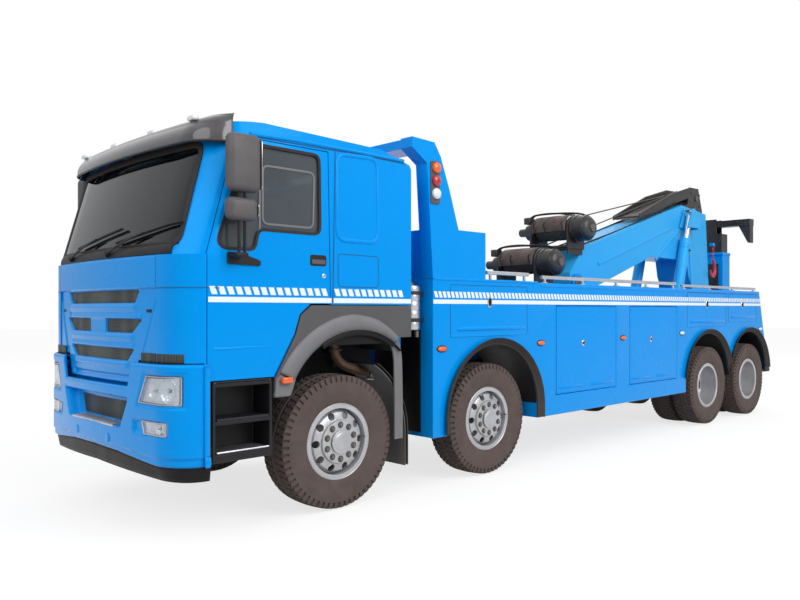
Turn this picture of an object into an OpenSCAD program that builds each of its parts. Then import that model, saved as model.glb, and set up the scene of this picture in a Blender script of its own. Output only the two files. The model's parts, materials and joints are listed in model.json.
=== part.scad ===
// Heavy tow truck: four axles, a two-door cab, locker bodies, a lifting boom and a folding underlift.
// x runs rearward from the first axle, y to the vehicle's right side, z up from the ground.

/* [Running gear] */
// Distance from axle 1 to axle 2
gap_12 = 1800; // [1750:1:2160]
// Distance from axle 2 to axle 3
gap_23 = 4550; // [3800:1:5460]
// Distance from axle 3 to axle 4
gap_34 = 1350; // [1300:1:1450]
// Outside diameter of a tyre
tyre_d = 1085; // [1000:1:1120]
// Width of a tyre
tyre_w = 300; // [250:1:310]
// Diameter of the bead seat, where tyre and rim meet
seat_d = 572; // [560:1:600]
// Track of the single front wheels
front_track = 2022; // [2000:1:2040]
// Track to the middle of the twin wheels
rear_track = 1830; // [1800:1:1850]
// Distance between the two tyres of a twin set
twin_gap = 350; // [340:1:370]
// Distance between the kingpins of a front axle
kingpin_track = 1760; // [1720:1:1780]

/* [Chassis] */
// Width over the two frame rails
frame_w = 860; // [800:1:900]
// Height of a frame rail
rail_h = 300; // [250:1:330]
// Height of the top of the rails above the ground
rail_top = 1060; // [1040:1:1090]
// Thickness of a rail's web and flanges
rail_t = 12; // [8:1:16]

/* [Cab] */
// Width of the cab
cab_w = 2496; // [2400:1:2550]
// Front of the cab ahead of axle 1
cab_front = 1462; // [1440:1:1480]
// Rear wall of the cab behind axle 1
cab_rear = 690; // [600:1:720]
// Height of the top of the roof
roof_z = 2965; // [2950:1:3200]
// Thickness of the cab walls
cab_t = 40; // [30:1:50]
// Thickness of a cab door
door_t = 45; // [35:1:60]
// Gap around doors, lids and locker doors
gap = 6; // [5:0.5:8]
// Front of the bumper ahead of axle 1
bumper_front = 1500; // [1490:1:1560]

/* [Locker bodies] */
// Width over the two locker bodies
body_w = 2500; // [2450:1:2550]
// Depth of a locker body, from its outer skin inward
body_depth = 610; // [550:1:620]
// Height of the top of the bodies above the ground
body_top = 1885; // [1860:1:2000]
// Height of the bottom of the skirts above the ground
skirt_z = 490; // [420:1:560]
// Thickness of a locker door
locker_t = 30; // [25:1:35]
// Length of a locker door
locker_l = 1170; // [975:1:1190]
// Radius of a wheel arch in the bodies
arch_r = 655; // [645:1:662]

/* [Boom] */
// Width of the boom over its side plates
boom_w = 560; // [500:1:580]
// Width of the sliding boom section
ext_w = 440; // [400:1:450]
// Height of the sliding boom section
ext_h = 400; // [350:1:410]
// Length of the boom between its foot and its rear leg
boom_l = 3600; // [3400:1:3700]
// Height of the boom's foot pin above the ground
foot_z = 1960; // [1950:1:1980]
// Radius of the foot pin
foot_pin_r = 60; // [50:1:80]
// Radius of a lift cylinder's barrel
barrel_r = 84; // [70:1:84]
// Radius of a lift cylinder's rod
rod_r = 48; // [40:1:60]

/* [Underlift] */
// Width of the underlift's outer box
arm_w = 540; // [480:1:560]
// Depth of the underlift's outer box
arm_d = 290; // [250:1:300]
// Length of the crossbar
bar_l = 1440; // [1200:1:1700]

/* [Hidden] */
$fn = 48;

// Axle places, from axle 1
axle_2 = gap_12;
axle_3 = gap_12 + gap_23;
axle_4 = axle_3 + gap_34;
hub_z = tyre_d / 2;
running = 0.05; // radial clearance of a shaft in its bore
fit = 0.3; // clearance of a seated piece
pin_gap = 5; // side clearance of a lug between its ears
slide_gap = 6; // clearance around a sliding section, away from its wear pads
pad = slide_gap - fit; // thickness of a wear pad

// Rails
rail_out = frame_w / 2;
rail_flange = 80;
rail_low = rail_top - rail_h;
rail_front = -1250;

// Wheels
spindle_r = 45;
rear_spindle_r = 50;
rim_w = 234;
flange_h = 18;
seat_r = seat_d / 2;
front_wheel_y = front_track / 2;
rear_wheel_y = rear_track / 2;
kingpin_y = kingpin_track / 2;
kingpin_r = 28;

// Cab
cab_y = cab_w / 2;
door_front = -1199;
door_rear = -160;
door_top = 2842;
sill_z = 1110; // lowest edge of the doors
arch_top_z = 1648; // lower edge of the cab side over the wheel
floor_z = 1400;
cowl_z = 1985;
lid_low_z = 1072;
lid_wing_z = 1242;
lid_y = 930;
lid_mid_y = 620;
bumper_end = -1220;
bumper_z = [530, 1235]; // low and high edge of the bumper
guard_c = [115, 750]; // centre of the cab's wheel arch
guard_r = 688;

// Locker bodies
body_y = body_w / 2;
body_in = body_y - body_depth;
body_front = 950;
body_rear = 8390;
arch_z = 620;
arch_lead = 40; // arches of axles 3 and 4 sit this far ahead of their hubs
locker_z = [700, 1650];
locker_1 = axle_2 + 970;
locker_2 = axle_3 - 2110;
deck_z = 1835;
deck_t = 20;
sub_h = 240; // height of the subframe beams on the rails
sub_y = [340, 420];

// Boom, drawn from its foot pin
foot_x = axle_3 - 1850;
leg_x = foot_x + boom_l; // middle of the rear leg
boom_y = boom_w / 2;
boom_slope = 17.7;
axis_p = [foot_x + 1660, foot_z + 655]; // a point on the axis of the sliding section
ear_t = 20;
cyl_y = 375; // side place of a lift cylinder
cyl_base = [foot_x + 2450, 1500];
cyl_eye = [foot_x + 2970, 3130];
cyl_len = norm(cyl_eye - cyl_base);
cyl_tilt = atan2(cyl_eye[0] - cyl_base[0], cyl_eye[1] - cyl_base[1]);
cyl_pin_r = 38;
lug_w = 2 * (rod_r + 7);

// Underlift
arm_x = leg_x + 780; // front face of the folded arm
fold_pin = [leg_x + 530, 1000];
fold_pin_r = 45;
arm_z = [1090, 2600];
arm_t = 25;
bar_z = 3095;
bar_x = arm_x + arm_d / 2;
bar_h = 110;

// Winches
deck_winch_c = [foot_x - 720, 2190];
boom_winch_c = [foot_x - 40, 2660];
drum_l = 560;
drum_r = 120;

// The frame's origin lies midway between the bumper's face and the folded arm's rear face
rear_end = arm_x + arm_d;
x_mid = (rear_end - bumper_front) / 2;

module on_truck() translate([-x_mid, 0, 0]) children();
module both_sides() {
  children();
  mirror([0, 1, 0]) children();
}
// An outline in x and z, as thick as y0 to y1
module slab(y0, y1) translate([0, y1, 0]) rotate([90, 0, 0]) linear_extrude(y1 - y0) children();
// An outline in y and z, as thick as x0 to x1
module panel(x0, x1) translate([x0, 0, 0]) rotate([90, 0, 90]) linear_extrude(x1 - x0) children();
// A box between two corners
module box(a, b) translate(a) cube(b - a);
// A cylinder along y
module rod_y(x, z, y0, y1, r) translate([x, y1, z]) rotate([90, 0, 0]) cylinder(h = y1 - y0, r = r);
module disc_at(p, r) translate(p) circle(r);

// ---------------------------------------------------------------- chassis
module rail() difference() {
  box([rail_front, rail_out - rail_flange, rail_low], [leg_x + 200, rail_out, rail_top]);
  box([rail_front - 1, rail_out - rail_flange - 1, rail_low + rail_t],
    [leg_x + 201, rail_out - rail_t, rail_top - rail_t]);
}
cross_xs = [-1200, 1250, 2500, 3700, 4900, axle_3 - 650, axle_3 + gap_34 / 2];
cab_mounts = [-1150, 560];
spring_in = rail_out - 80;
hanger_dx = 720;
tail_x = leg_x + 165;
// Eyes for shackles in the tail beam
shackle_r = 20;
shackle_y = 600;
spring_seat = 585; // underside of the front springs at their middle
leaf_rise = 85;
leaf_end = 15; // thickness of a spring at its ends
module hanger(x) box([x - 40, spring_in, spring_seat + leaf_rise + leaf_end + fit], [x + 40, rail_out, rail_low]);
module chassis_frame() color([0.08, 0.08, 0.09]) on_truck() {
  both_sides() rail();
  for (x = cross_xs)
    box([x - 40, -rail_out + rail_t, rail_top - 120], [x + 40, rail_out - rail_t, rail_top - 20]);
  both_sides() for (axle = [0, axle_2]) for (s = [-1, 1]) hanger(axle + s * hanger_dx);
  // trunnion brackets of the rear springs
  both_sides() box([axle_3 + gap_34 / 2 - 90, rail_out, rail_low - 40],
    [axle_3 + gap_34 / 2 + 90, rail_out + 110, rail_low + 160]);
  // cab mounts
  both_sides() for (x = cab_mounts) box([x - 40, rail_out - rail_flange, rail_top], [x + 40, rail_out, floor_z - 60 - fit]);
  // tail beam with its two drop plates
  both_sides() box([leg_x + 130, rail_out - rail_flange, 600], [leg_x + 200, rail_out, rail_low]);
  difference() {
    box([tail_x, -1150, 520], [tail_x + 110, 1150, 652]);
    both_sides() translate([tail_x + 55, shackle_y, 519]) cylinder(h = 134, r = shackle_r);
  }
}

// ---------------------------------------------------------------- axles
// Height of a leaf above its lowest point
function leaf_z(x) = leaf_rise * pow(x / hanger_dx, 2);
leaf_n = 12;
leaf_xs = [for (i = [0 : leaf_n]) -hanger_dx + 2 * hanger_dx * i / leaf_n];
module leaf_pack(t) polygon(concat(
  [for (x = leaf_xs) [x, leaf_z(x)]],
  [for (i = [leaf_n : -1 : 0]) [leaf_xs[i], leaf_z(leaf_xs[i]) + t + (leaf_end - t) * abs(leaf_xs[i]) / hanger_dx]]));
beam_z = [410, 510];
diff_w = 260;
module front_axle(x) {
  box([x - 45, -760, beam_z[0]], [x + 45, 760, beam_z[1]]);
  both_sides() {
    box([x - 40, 700, hub_z - 62], [x + 40, kingpin_y - 40, hub_z + 50]);
    difference() {
      translate([x, kingpin_y, hub_z - 62]) cylinder(h = 112, r = 52);
      translate([x, kingpin_y, hub_z - 63]) cylinder(h = 114, r = kingpin_r + running);
    }
    box([x - 60, spring_in, beam_z[1]], [x + 60, rail_out, spring_seat + 1]);
    translate([x, 0, spring_seat]) slab(spring_in, rail_out) leaf_pack(60);
  }
}
module rear_axle(x) {
  rod_y(x, hub_z, -rear_wheel_y + 330, rear_wheel_y - 330, 78);
  rod_y(x, hub_z, -rear_wheel_y - 90, rear_wheel_y + 90, rear_spindle_r);
  translate([x - diff_w / 2, 0, hub_z]) rotate([0, 90, 0]) cylinder(h = diff_w, r = 215);
  both_sides() box([x - 60, 470, hub_z - 60], [x + 60, 560, hub_z + 90]);
}
module axles() color([0.1, 0.1, 0.11]) on_truck() {
  front_axle(0);
  front_axle(axle_2);
  rear_axle(axle_3);
  rear_axle(axle_4);
  // rear springs from axle 3 to axle 4, over their trunnions
  both_sides() box([axle_3 - 60, 470, hub_z + 90], [axle_4 + 60, 560, hub_z + 150]);
  both_sides() box([axle_3 + gap_34 / 2 - 60, rail_out + 1, hub_z + 150],
    [axle_3 + gap_34 / 2 + 60, 560, rail_low - 40]);
}

// ---------------------------------------------------------------- engine and drive line
module engine() color([0.25, 0.26, 0.27]) on_truck()
  box([-1000, -320, 700], [400, 320, 1330]);
module drive_line() color([0.15, 0.15, 0.16]) on_truck() {
  box([400 + fit, -200, 720], [1190, 200, 1050]);
  // the long shaft slopes from the gearbox to the first driven axle
  tail = [axle_3 - diff_w / 2 - fit - 3, hub_z + 60];
  head = [1189, 860];
  translate([head[0], 0, head[1]])
    rotate([0, 90 + atan2(head[1] - tail[1], tail[0] - head[0]), 0])
      cylinder(h = norm(tail - head), r = 55);
  translate([axle_3 + diff_w / 2 + fit, 0, hub_z + 20]) rotate([0, 90, 0])
    cylinder(h = gap_34 - diff_w - 2 * fit, r = 50);
}

// ---------------------------------------------------------------- knuckles and wheels
module knuckle(x, side) color([0.12, 0.12, 0.13]) on_truck() mirror([0, side < 0 ? 1 : 0, 0]) {
  for (z = [hub_z - 130, hub_z + 55]) translate([x, kingpin_y, z]) cylinder(h = 63, r = 50);
  translate([x, kingpin_y, hub_z - 100]) cylinder(h = 180, r = kingpin_r);
  box([x - 45, kingpin_y + 57, hub_z - 130], [x + 45, kingpin_y + 80, hub_z + 118]);
  for (z = [hub_z - 130, hub_z + 55]) box([x - 45, kingpin_y, z], [x + 45, kingpin_y + 60, z + 63]);
  rod_y(x, hub_z, kingpin_y + 79, front_wheel_y + 90, spindle_r);
}
// Tyre section: radius and distance from the tyre's middle plane
half_tread = tyre_w / 2 - 28;
tyre_r = tyre_d / 2;
function tyre_out(s) = [
  [seat_r + fit, s * (rim_w / 2 - fit)], [seat_r + flange_h + fit, s * (rim_w / 2 - fit)],
  [seat_r + flange_h + 8, s * (rim_w / 2 + 8)],
  [seat_r + 110, s * tyre_w / 2], [tyre_r - 90, s * tyre_w / 2],
  [tyre_r - 22, s * (half_tread + 16)], [tyre_r, s * half_tread]];
function tyre_in(s) = [
  [seat_r + fit, s * (rim_w / 2 - 32)], [seat_r + 110, s * (tyre_w / 2 - 18)],
  [tyre_r - 90, s * (tyre_w / 2 - 20)], [tyre_r - 34, s * (half_tread - 14)]];
function backwards(v) = [for (i = [len(v) - 1 : -1 : 0]) v[i]];
module tyre_ring(x, y) translate([x, y, hub_z]) rotate([90, 0, 0]) rotate_extrude($fn = 96)
  polygon(concat(tyre_out(1), backwards(tyre_out(-1)), tyre_in(-1), backwards(tyre_in(1))));
module tyre(x, side) color([0.13, 0.12, 0.11]) on_truck() tyre_ring(x, side * front_wheel_y);
module twin_tyres(x, side) color([0.13, 0.12, 0.11]) on_truck()
  for (s = [-0.5, 0.5]) tyre_ring(x, side * (rear_wheel_y + s * twin_gap));
// Rim section, the disc meets it at s = disc
module rim_section() {
  translate([seat_r - 18, -rim_w / 2]) square([18, rim_w]);
  for (s = [-1, 1]) translate([seat_r - 18, s * (rim_w / 2 + 5) - 5]) square([18 + flange_h, 10]);
}
hole_n = 10;
module hand_holes(pcd, r, y0, y1) for (i = [0 : hole_n - 1]) rotate([0, 0, 360 / hole_n * i])
  translate([pcd / 2, 0, y0]) cylinder(h = y1 - y0, r = r, $fn = 24);
// A single wheel, its axis along z and its outer face up
module front_wheel_shape() difference() {
  rotate_extrude($fn = 96) {
    rim_section();
    polygon([[seat_r - 10, 20], [seat_r - 10, 36], [235, 110], [180, 128], [96, 128], [96, 114], [176, 114],
      [225, 98]]);
    // hub, cap and brake drum
    polygon([[spindle_r + running, -40], [205, -40], [205, -100], [218, -100], [218, -26], [100, -26],
      [100, 128], [78, 128], [78, 165], [0, 165], [0, 95], [spindle_r + running, 95]]);
  }
  hand_holes(430, 30, 20, 160);
}
module rear_wheel_shape() difference() {
  rotate_extrude($fn = 96) {
    for (s = [-0.5, 0.5]) translate([0, s * twin_gap]) rim_section();
    polygon([[seat_r - 10, 80], [seat_r - 10, 96], [215, 22], [100, 16], [100, 1], [220, 4]]);
    polygon([[seat_r - 10, -80], [seat_r - 10, -96], [215, -22], [100, -16], [100, -1], [220, -4]]);
    polygon([[rear_spindle_r + running, -235], [120, -235], [120, -180], [205, -180], [205, -240],
      [218, -240], [218, -166], [120, -166], [120, 80], [92, 80], [92, 150], [0, 150], [0, 95],
      [rear_spindle_r + running, 95]]);
  }
  hand_holes(420, 30, -90, 90);
}
module outward(x, y, side) translate([x, side * y, hub_z]) rotate([side * -90, 0, 0]) children();
module front_wheel(x, side) color([0.75, 0.76, 0.78]) on_truck()
  outward(x, front_wheel_y, side) front_wheel_shape();
module rear_wheels(x, side) color([0.75, 0.76, 0.78]) on_truck()
  outward(x, rear_wheel_y, side) rear_wheel_shape();

// ---------------------------------------------------------------- cab
// Half of a bowed front in plan, from the middle to the flat side; t is the inset
front_n = 6;
corner_r = 260;
bow = 58;
function bow_x(front, half, y) = -front + bow * pow(y / (half - corner_r), 2);
function plan_half(front, half, t) = concat(
  [for (i = [0 : front_n]) let(y = (half - corner_r) * i / front_n) [bow_x(front, half, y) + t, y]],
  [for (i = [1 : front_n]) let(a = 12 + 78 * i / front_n)
    [bow_x(front, half, half - corner_r) + (corner_r - t) * (cos(12) - cos(a)) + t,
      half - corner_r + (corner_r - t) * (sin(a) - sin(12)) / (1 - sin(12))]]);
function flip_y(v) = [for (p = v) [p[0], -p[1]]];
module plan(front, half, rear, t) polygon(concat(
  flip_y(backwards(plan_half(front, half, t))), plan_half(front, half, t),
  [[rear - t, half - t], [rear - t, t - half]]));
// Side outline of the cab above its lowest edge; t is the inset
module cab_side(t) polygon([
  [-cab_front + t - 100, sill_z], [-cab_front + t - 100, 2500], [-1290 + t, 2690], [-1150 + t, 2880 - t / 2],
  [-1010, roof_z - 22 - t], [-760, roof_z - t],
  [cab_rear - 170, roof_z - 28 - t], [cab_rear - 50 - t / 2, roof_z - 62 - t / 2], [cab_rear - t, roof_z - 150],
  [cab_rear - t, sill_z]]);
// The front above the cowl leans back, with the same bowed plan
lean = 15.7;
module front_solid(t) intersection() {
  translate([0, 0, sill_z]) linear_extrude(roof_z - sill_z) plan(cab_front, cab_y, cab_rear, t);
  union() {
    box([-cab_front - 100, -cab_y - 1, sill_z - 1], [cab_rear + 1, cab_y + 1, cowl_z + 5]);
    translate([22 - cab_front, 0, cowl_z + 5]) rotate([0, lean, 0]) translate([0, 0, -800])
      linear_extrude(2200) plan(0, cab_y, 3000, t);
  }
}
module cab_solid(t) intersection() {
  front_solid(t);
  slab(-cab_y, cab_y) cab_side(t);
}
// Outline of the cab door; g is the inset
module door_outline(g) polygon([
  [door_front + g, sill_z + g], [-668 - g, sill_z + g], [-488 - g, 1430], [-440 - g, 1575],
  [-345 - g, arch_top_z + g], [door_rear - g, arch_top_z + g], [door_rear - 24 - g, door_top - g],
  [-970 + g, door_top - g], [door_front + g, 2000]]);
module window_outline(g) polygon([
  [-1118 + g, 2090 + g], [-1085 + g, 2040 + g], [-830 - g, 2040 + g], [-800 - g, 2190 + g],
  [-290 - g, 2190 + g], [-262 - g, 2225 + g], [-270 - g, 2770 - g], [-300 - g, 2800 - g],
  [-893 + g, 2800 - g]]);
module screen_outline(g) polygon([
  [-1090 + g, 2060 + g], [1090 - g, 2060 + g], [1065 - g, 2785 - g], [-1065 + g, 2785 - g]]);
module lid_outline(g) polygon([
  [-lid_mid_y + g, lid_low_z + g], [lid_mid_y - g, lid_low_z + g], [lid_mid_y + 60 - g, lid_wing_z + g],
  [lid_y - g, lid_wing_z + g], [lid_y - g, cowl_z - lid_seat], [-lid_y + g, cowl_z - lid_seat],
  [-lid_y + g, lid_wing_z + g], [-lid_mid_y - 60 + g, lid_wing_z + g]]);
lid_seat = fit; // the lid turns about its upper edge, so it needs no wider gap there
fire_x = -1290; // the wall behind the front lid
module cab_shell() color([0.05, 0.5, 0.88]) on_truck() difference() {
  union() {
    difference() {
      cab_solid(0);
      cab_solid(cab_t);
    }
    intersection() {
      cab_solid(1);
      union() {
        box([fire_x, -cab_y, floor_z - 60], [cab_rear - 1, cab_y, floor_z]);
        box([fire_x, -cab_y, floor_z - 60], [fire_x + 30, cab_y, 2030]);
        box([-cab_front - 40, -cab_y, cowl_z], [fire_x + 30, cab_y, cowl_z + 50]);
      }
    }
  }
  // openings for the doors, the windscreen and the lid
  both_sides() slab(cab_y - door_t - fit, cab_y + 1) door_outline(0);
  panel(-1700, -1000) screen_outline(0);
  panel(-1700, fire_x - 5) lid_outline(0);
  // the side over the wheel, taken up by the mudguard
  both_sides() slab(cab_y - 140, cab_y + 1)
    polygon([[-668, sill_z - 1], [-488, 1430], [-440, 1575], [-345, arch_top_z], [cab_rear + 1, arch_top_z],
      [cab_rear + 1, sill_z - 1]]);
  // the underside behind the bumper is open between the sills
  box([fire_x + 30, -cab_y + 150, sill_z - 1], [cab_rear + 1, cab_y - 150, floor_z - 60]);
  box([-1700, -1300, sill_z - 1], [bumper_end + gap, 1300, lid_wing_z]);
}
module windscreen() color([0.1, 0.13, 0.15, 0.6]) on_truck() intersection() {
  difference() {
    cab_solid(8);
    cab_solid(16);
  }
  panel(-1700, -1000) screen_outline(fit);
}
module door(side) color([0.05, 0.5, 0.88]) on_truck() mirror([0, side < 0 ? 1 : 0, 0]) difference() {
  intersection() {
    slab(cab_y - door_t, cab_y) door_outline(gap);
    front_solid(0);
  }
  slab(cab_y - door_t - 1, cab_y + 1) window_outline(0);
}
module door_glass(side) color([0.15, 0.17, 0.19, 0.6]) on_truck() mirror([0, side < 0 ? 1 : 0, 0])
  slab(cab_y - 22, cab_y - 14) window_outline(fit);
mirror_x = [-1075, -885];
module mirror_arm(side) color([0.16, 0.15, 0.15]) on_truck() mirror([0, side < 0 ? 1 : 0, 0]) {
  box([mirror_x[0], cab_y + 70, 2425], [mirror_x[1], cab_y + 160, 2830]);
  box([mirror_x[0] - 15, cab_y + 65, 2235], [mirror_x[1] - 30, cab_y + 165, 2375]);
  translate([-1000, cab_y + 110, 1990]) cylinder(h = 450, r = 14);
  box([-1012, cab_y + fit, 1975], [-988, cab_y + 124, 2005]);
  box([-1080, cab_y + fit, 1930], [-880, cab_y + 16, 1990]);
  translate([-930, cab_y + 60, 2815]) rotate([90, 0, 0]) cylinder(h = 60 - fit, r = 12);
  box([-942, cab_y + 48, 2803], [-918, cab_y + 110, 2827]);
}
module front_lid() color([0.05, 0.5, 0.88]) on_truck() intersection() {
  difference() {
    translate([0, 0, sill_z - 60]) linear_extrude(1000) plan(cab_front, cab_y, cab_rear, 0);
    translate([0, 0, sill_z - 61]) linear_extrude(1002) plan(cab_front, cab_y, cab_rear, 40);
  }
  panel(-1700, -1300) lid_outline(gap);
}
// Sun visor: a thin curved shade ahead of the roof, on three stays
visor_front = 1315;
visor_rear = -950;
module visor_side(t) polygon([
  [-visor_front - 50 + t, 2780], [-visor_front - 50 + t, 2800], [-1250 + t, 2895 - t], [-1165, 2975 - t],
  [-1060, 3020 - t], [visor_rear, 3022 - t], [visor_rear, 2780]]);
module visor_solid(t) intersection() {
  slab(-cab_y + 8 + t, cab_y - 8 - t) visor_side(t);
  translate([0, 0, 2700]) linear_extrude(400) plan(visor_front, cab_y, 0, t);
}
module sun_visor() color([0.1, 0.1, 0.11]) on_truck() {
  difference() {
    visor_solid(0);
    translate([0, 0, -0.01]) visor_solid(9);
    translate([9, 0, -9]) visor_solid(0);
    cab_solid(-fit);
  }
  for (y = [-1000, 0, 1000]) difference() {
    slab(y - 12, y + 12) polygon([[-1110, 2880], [visor_rear - 5, 2900], [visor_rear - 5, 3017], [-1056, 3015],
      [-1110, 2993]]);
    cab_solid(-fit);
  }
}
seat_x = -330;
module seat(y) {
  box([seat_x - 250, y - 240, floor_z + fit], [seat_x + 200, y + 240, floor_z + 260]);
  slab(y - 240, y + 240) polygon([[seat_x - 290, floor_z + 259], [seat_x + 250, floor_z + 259],
    [seat_x + 380, floor_z + 980], [seat_x + 270, floor_z + 980], [seat_x + 150, floor_z + 400],
    [seat_x - 290, floor_z + 400]]);
}
module cab_interior() color([0.16, 0.16, 0.17]) on_truck() {
  for (y = [-620, 620]) seat(y);
  // dashboard
  slab(-1150, 1150) polygon([[fire_x + 30 + fit, 1600], [-1010, 1640], [-960, 1940], [-1080, 2010],
    [fire_x + 30 + fit, 1985]]);
  // steering column and wheel on the left
  translate([-1000, -620, 1780]) rotate([0, 50, 0]) cylinder(h = 260, r = 28);
  translate([-1000, -620, 1780]) rotate([0, 50, 0]) translate([0, 0, 250]) {
    rotate_extrude() translate([215, 0]) circle(16);
    cylinder(h = 16, r = 60);
    for (a = [90, 210, 330]) rotate([0, 0, a]) box([0, -14, 0], [212, 14, 14]);
  }
  // bunk behind the seats
  box([cab_rear - 560, -1100, floor_z + fit], [cab_rear - cab_t - 5, 1100, floor_z + 420]);
}

// ---------------------------------------------------------------- bumper, lamps, guards
bumper_t = 60;
lamp_y = [800, 1180];
lamp_z = [955, 1150];
fog_y = [835, 1085];
fog_z = [740, 835];
module lamp_window(ys, zs, g) polygon([[ys[0] + g, zs[0] + g], [ys[1] - g, zs[0] + g],
  [ys[1] - g, zs[1] - g], [ys[0] + g, zs[1] - g]]);
module front_bumper() color([0.05, 0.5, 0.88]) on_truck() {
  difference() {
    translate([0, 0, bumper_z[0]]) linear_extrude(bumper_z[1] - bumper_z[0])
      plan(bumper_front, cab_y, 0, 0);
    translate([0, 0, bumper_z[0] - 1]) linear_extrude(bumper_z[1] - bumper_z[0] + 2)
      plan(bumper_front, cab_y, 0, bumper_t);
    box([bumper_end, -1300, 0], [100, 1300, 2000]);
    // room for the lid's middle part, the grille opening and the lamps
    panel(-1700, -1300) polygon([[-lid_mid_y, lid_low_z - 12], [lid_mid_y, lid_low_z - 12],
      [lid_mid_y + 60, bumper_z[1] + 1], [-lid_mid_y - 60, bumper_z[1] + 1]]);
    panel(-1700, -1300) polygon([[-480, 765], [480, 765], [560, 970], [-560, 970]]);
    both_sides() panel(-1700, -1250) lamp_window(lamp_y, lamp_z, 0);
    both_sides() panel(-1700, -1300) lamp_window(fog_y, fog_z, 0);
  }
  // black valance under the bumper
  difference() {
    translate([0, 0, 425]) linear_extrude(bumper_z[0] - 425) plan(bumper_front - 12, cab_y - 12, 0, 0);
    translate([0, 0, 424]) linear_extrude(bumper_z[0] - 422) plan(bumper_front - 12, cab_y - 12, 0, 40);
    box([-1160, -1300, 0], [100, 1300, 2000]);
  }
  // beam and two brackets to the rails
  box([-1400, -1150, 600], [-1330, 1150, 740]);
  both_sides() box([-1335, rail_out - rail_flange, 600], [rail_front - fit, rail_out, rail_low + 150]);
  both_sides() box([-1400, 1149, 600], [-1260, cab_y - 30, 740]);
}
module head_lamps() color([0.85, 0.88, 0.9]) on_truck() both_sides() {
  intersection() {
    difference() {
      translate([0, 0, 600]) linear_extrude(700) plan(bumper_front, cab_y, 0, 4);
      translate([0, 0, 599]) linear_extrude(702) plan(bumper_front, cab_y, 0, bumper_t - 4);
    }
    union() {
      panel(-1700, -1250) lamp_window(lamp_y, lamp_z, fit);
      panel(-1700, -1300) lamp_window(fog_y, fog_z, fit);
    }
  }
}
guard_y = [cab_y - 60, cab_y];
strip_r = 690;
module mudguards() color([0.17, 0.17, 0.18]) on_truck() both_sides() {
  // cab side over the wheel, with its round cut-out
  difference() {
    slab(guard_y[0], guard_y[1]) polygon([[-661 - 5, 960], [-661, sill_z - 6], [-482, 1424], [-434, 1571],
      [-340, arch_top_z - 6], [cab_rear, arch_top_z - 6], [cab_rear, 1373], [300, 1373], [-300, 960]]);
    slab(guard_y[0] - 1, guard_y[1] + 1) disc_at(guard_c, guard_r);
    slab(guard_y[0] - 1, guard_y[1] + 1) disc_at([60, hub_z + 60], guard_r - 40);
  }
  box([-380, cab_y - 145, arch_top_z - 6], [cab_rear - cab_t, guard_y[0] + 1, arch_top_z - 12]);
  box([-380, cab_y - 145, arch_top_z - 40], [cab_rear - cab_t, guard_y[0] + 1, arch_top_z - 6]);
  // rear quarter strip, its stay and the flap
  intersection() {
    difference() {
      rod_y(0, hub_z, 720, 1165, strip_r + 10);
      rod_y(0, hub_z, 719, 1166, strip_r);
    }
    slab(719, 1167) polygon([[0, hub_z], [0 + 900, hub_z], [900, hub_z + 900], [520, hub_z + 900]]);
  }
  box([strip_r + 2, 720, 250], [strip_r + 10, 1165, hub_z + 1]);
  rod_y(strip_r * cos(28) + 8, hub_z + strip_r * sin(28), rail_out + fit, 721, 18);
}
step_x = [-1152, -678];
step_y = [980, 1238];
module cab_steps() color([0.17, 0.17, 0.18]) on_truck() both_sides() {
  difference() {
    box([step_x[0], step_y[0], 540], [step_x[1], step_y[1], 1096]);
    box([step_x[0] + 25, step_y[0] + 30, 600], [step_x[1] - 25, step_y[1] + 1, 800]);
    box([step_x[0] + 25, step_y[0] + 30, 830], [step_x[1] - 25, step_y[1] + 1, 1066]);
  }
  box([step_x[0] + 100, rail_out + fit, 800], [step_x[0] + 180, step_y[0] + 1, 880]);
}
can_x = 815;
can_y = 1110;
module air_canister() color([0.6, 0.6, 0.6]) on_truck() {
  translate([can_x, -can_y, 1425]) cylinder(h = 400, r = 78);
  for (z = [1500, 1740]) box([can_x, -can_y - 20, z], [body_front - fit, -can_y + 20, z + 30]);
}

// ---------------------------------------------------------------- locker bodies and deck
// axle, ahead of its hub
arches = [[axle_2, 0], [axle_3, arch_lead], [axle_4, arch_lead]];
lockers = [locker_1, locker_2];
module body_outline() polygon([
  [body_front, skirt_z - 30], [axle_2, skirt_z - 30], [axle_2 + 600, skirt_z], [axle_3 - 300, skirt_z + 10],
  [axle_3, 740], [axle_4, 740], [axle_4 + 300, 660], [body_rear, 660], [body_rear - 110, 1080],
  [body_rear - 240, 1536], [body_rear - 338, body_top], [body_front, body_top]]);
module locker_bodies() color([0.05, 0.5, 0.88]) on_truck() both_sides() difference() {
  slab(body_in, body_y) body_outline();
  for (a = arches) slab(body_in - 1, body_y + 1) disc_at([a[0] - a[1], arch_z], arch_r);
  for (a = arches) box([a[0] - a[1] - arch_r, body_in - 1, 0], [a[0] - a[1] + arch_r, body_y + 1, arch_z]);
  for (x = lockers) {
    box([x + 15, body_in + 30, locker_z[0] + 15], [x + locker_l - 15, body_y + 1, locker_z[1] - 15]);
    box([x, body_y - locker_t - fit, locker_z[0]], [x + locker_l, body_y + 1, locker_z[1]]);
  }
}
module locker_door(x, side) color([0.05, 0.5, 0.88]) on_truck() mirror([0, side < 0 ? 1 : 0, 0])
  box([x + gap, body_y - locker_t, locker_z[0] + gap], [x + locker_l - gap, body_y, locker_z[1] - gap]);
slot_front = foot_x + 2330;
slot_y = 480;
module ear(p, r, base_z, base_w) {
  disc_at(p, r);
  polygon([[p[0] - base_w / 2, base_z], [p[0] + base_w / 2, base_z], [p[0] + r * 0.9, p[1]], [p[0] - r * 0.9, p[1]]]);
}
bulkheads = [1000, 2500, foot_x - 900, foot_x + 1300, slot_front - 100];
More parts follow.
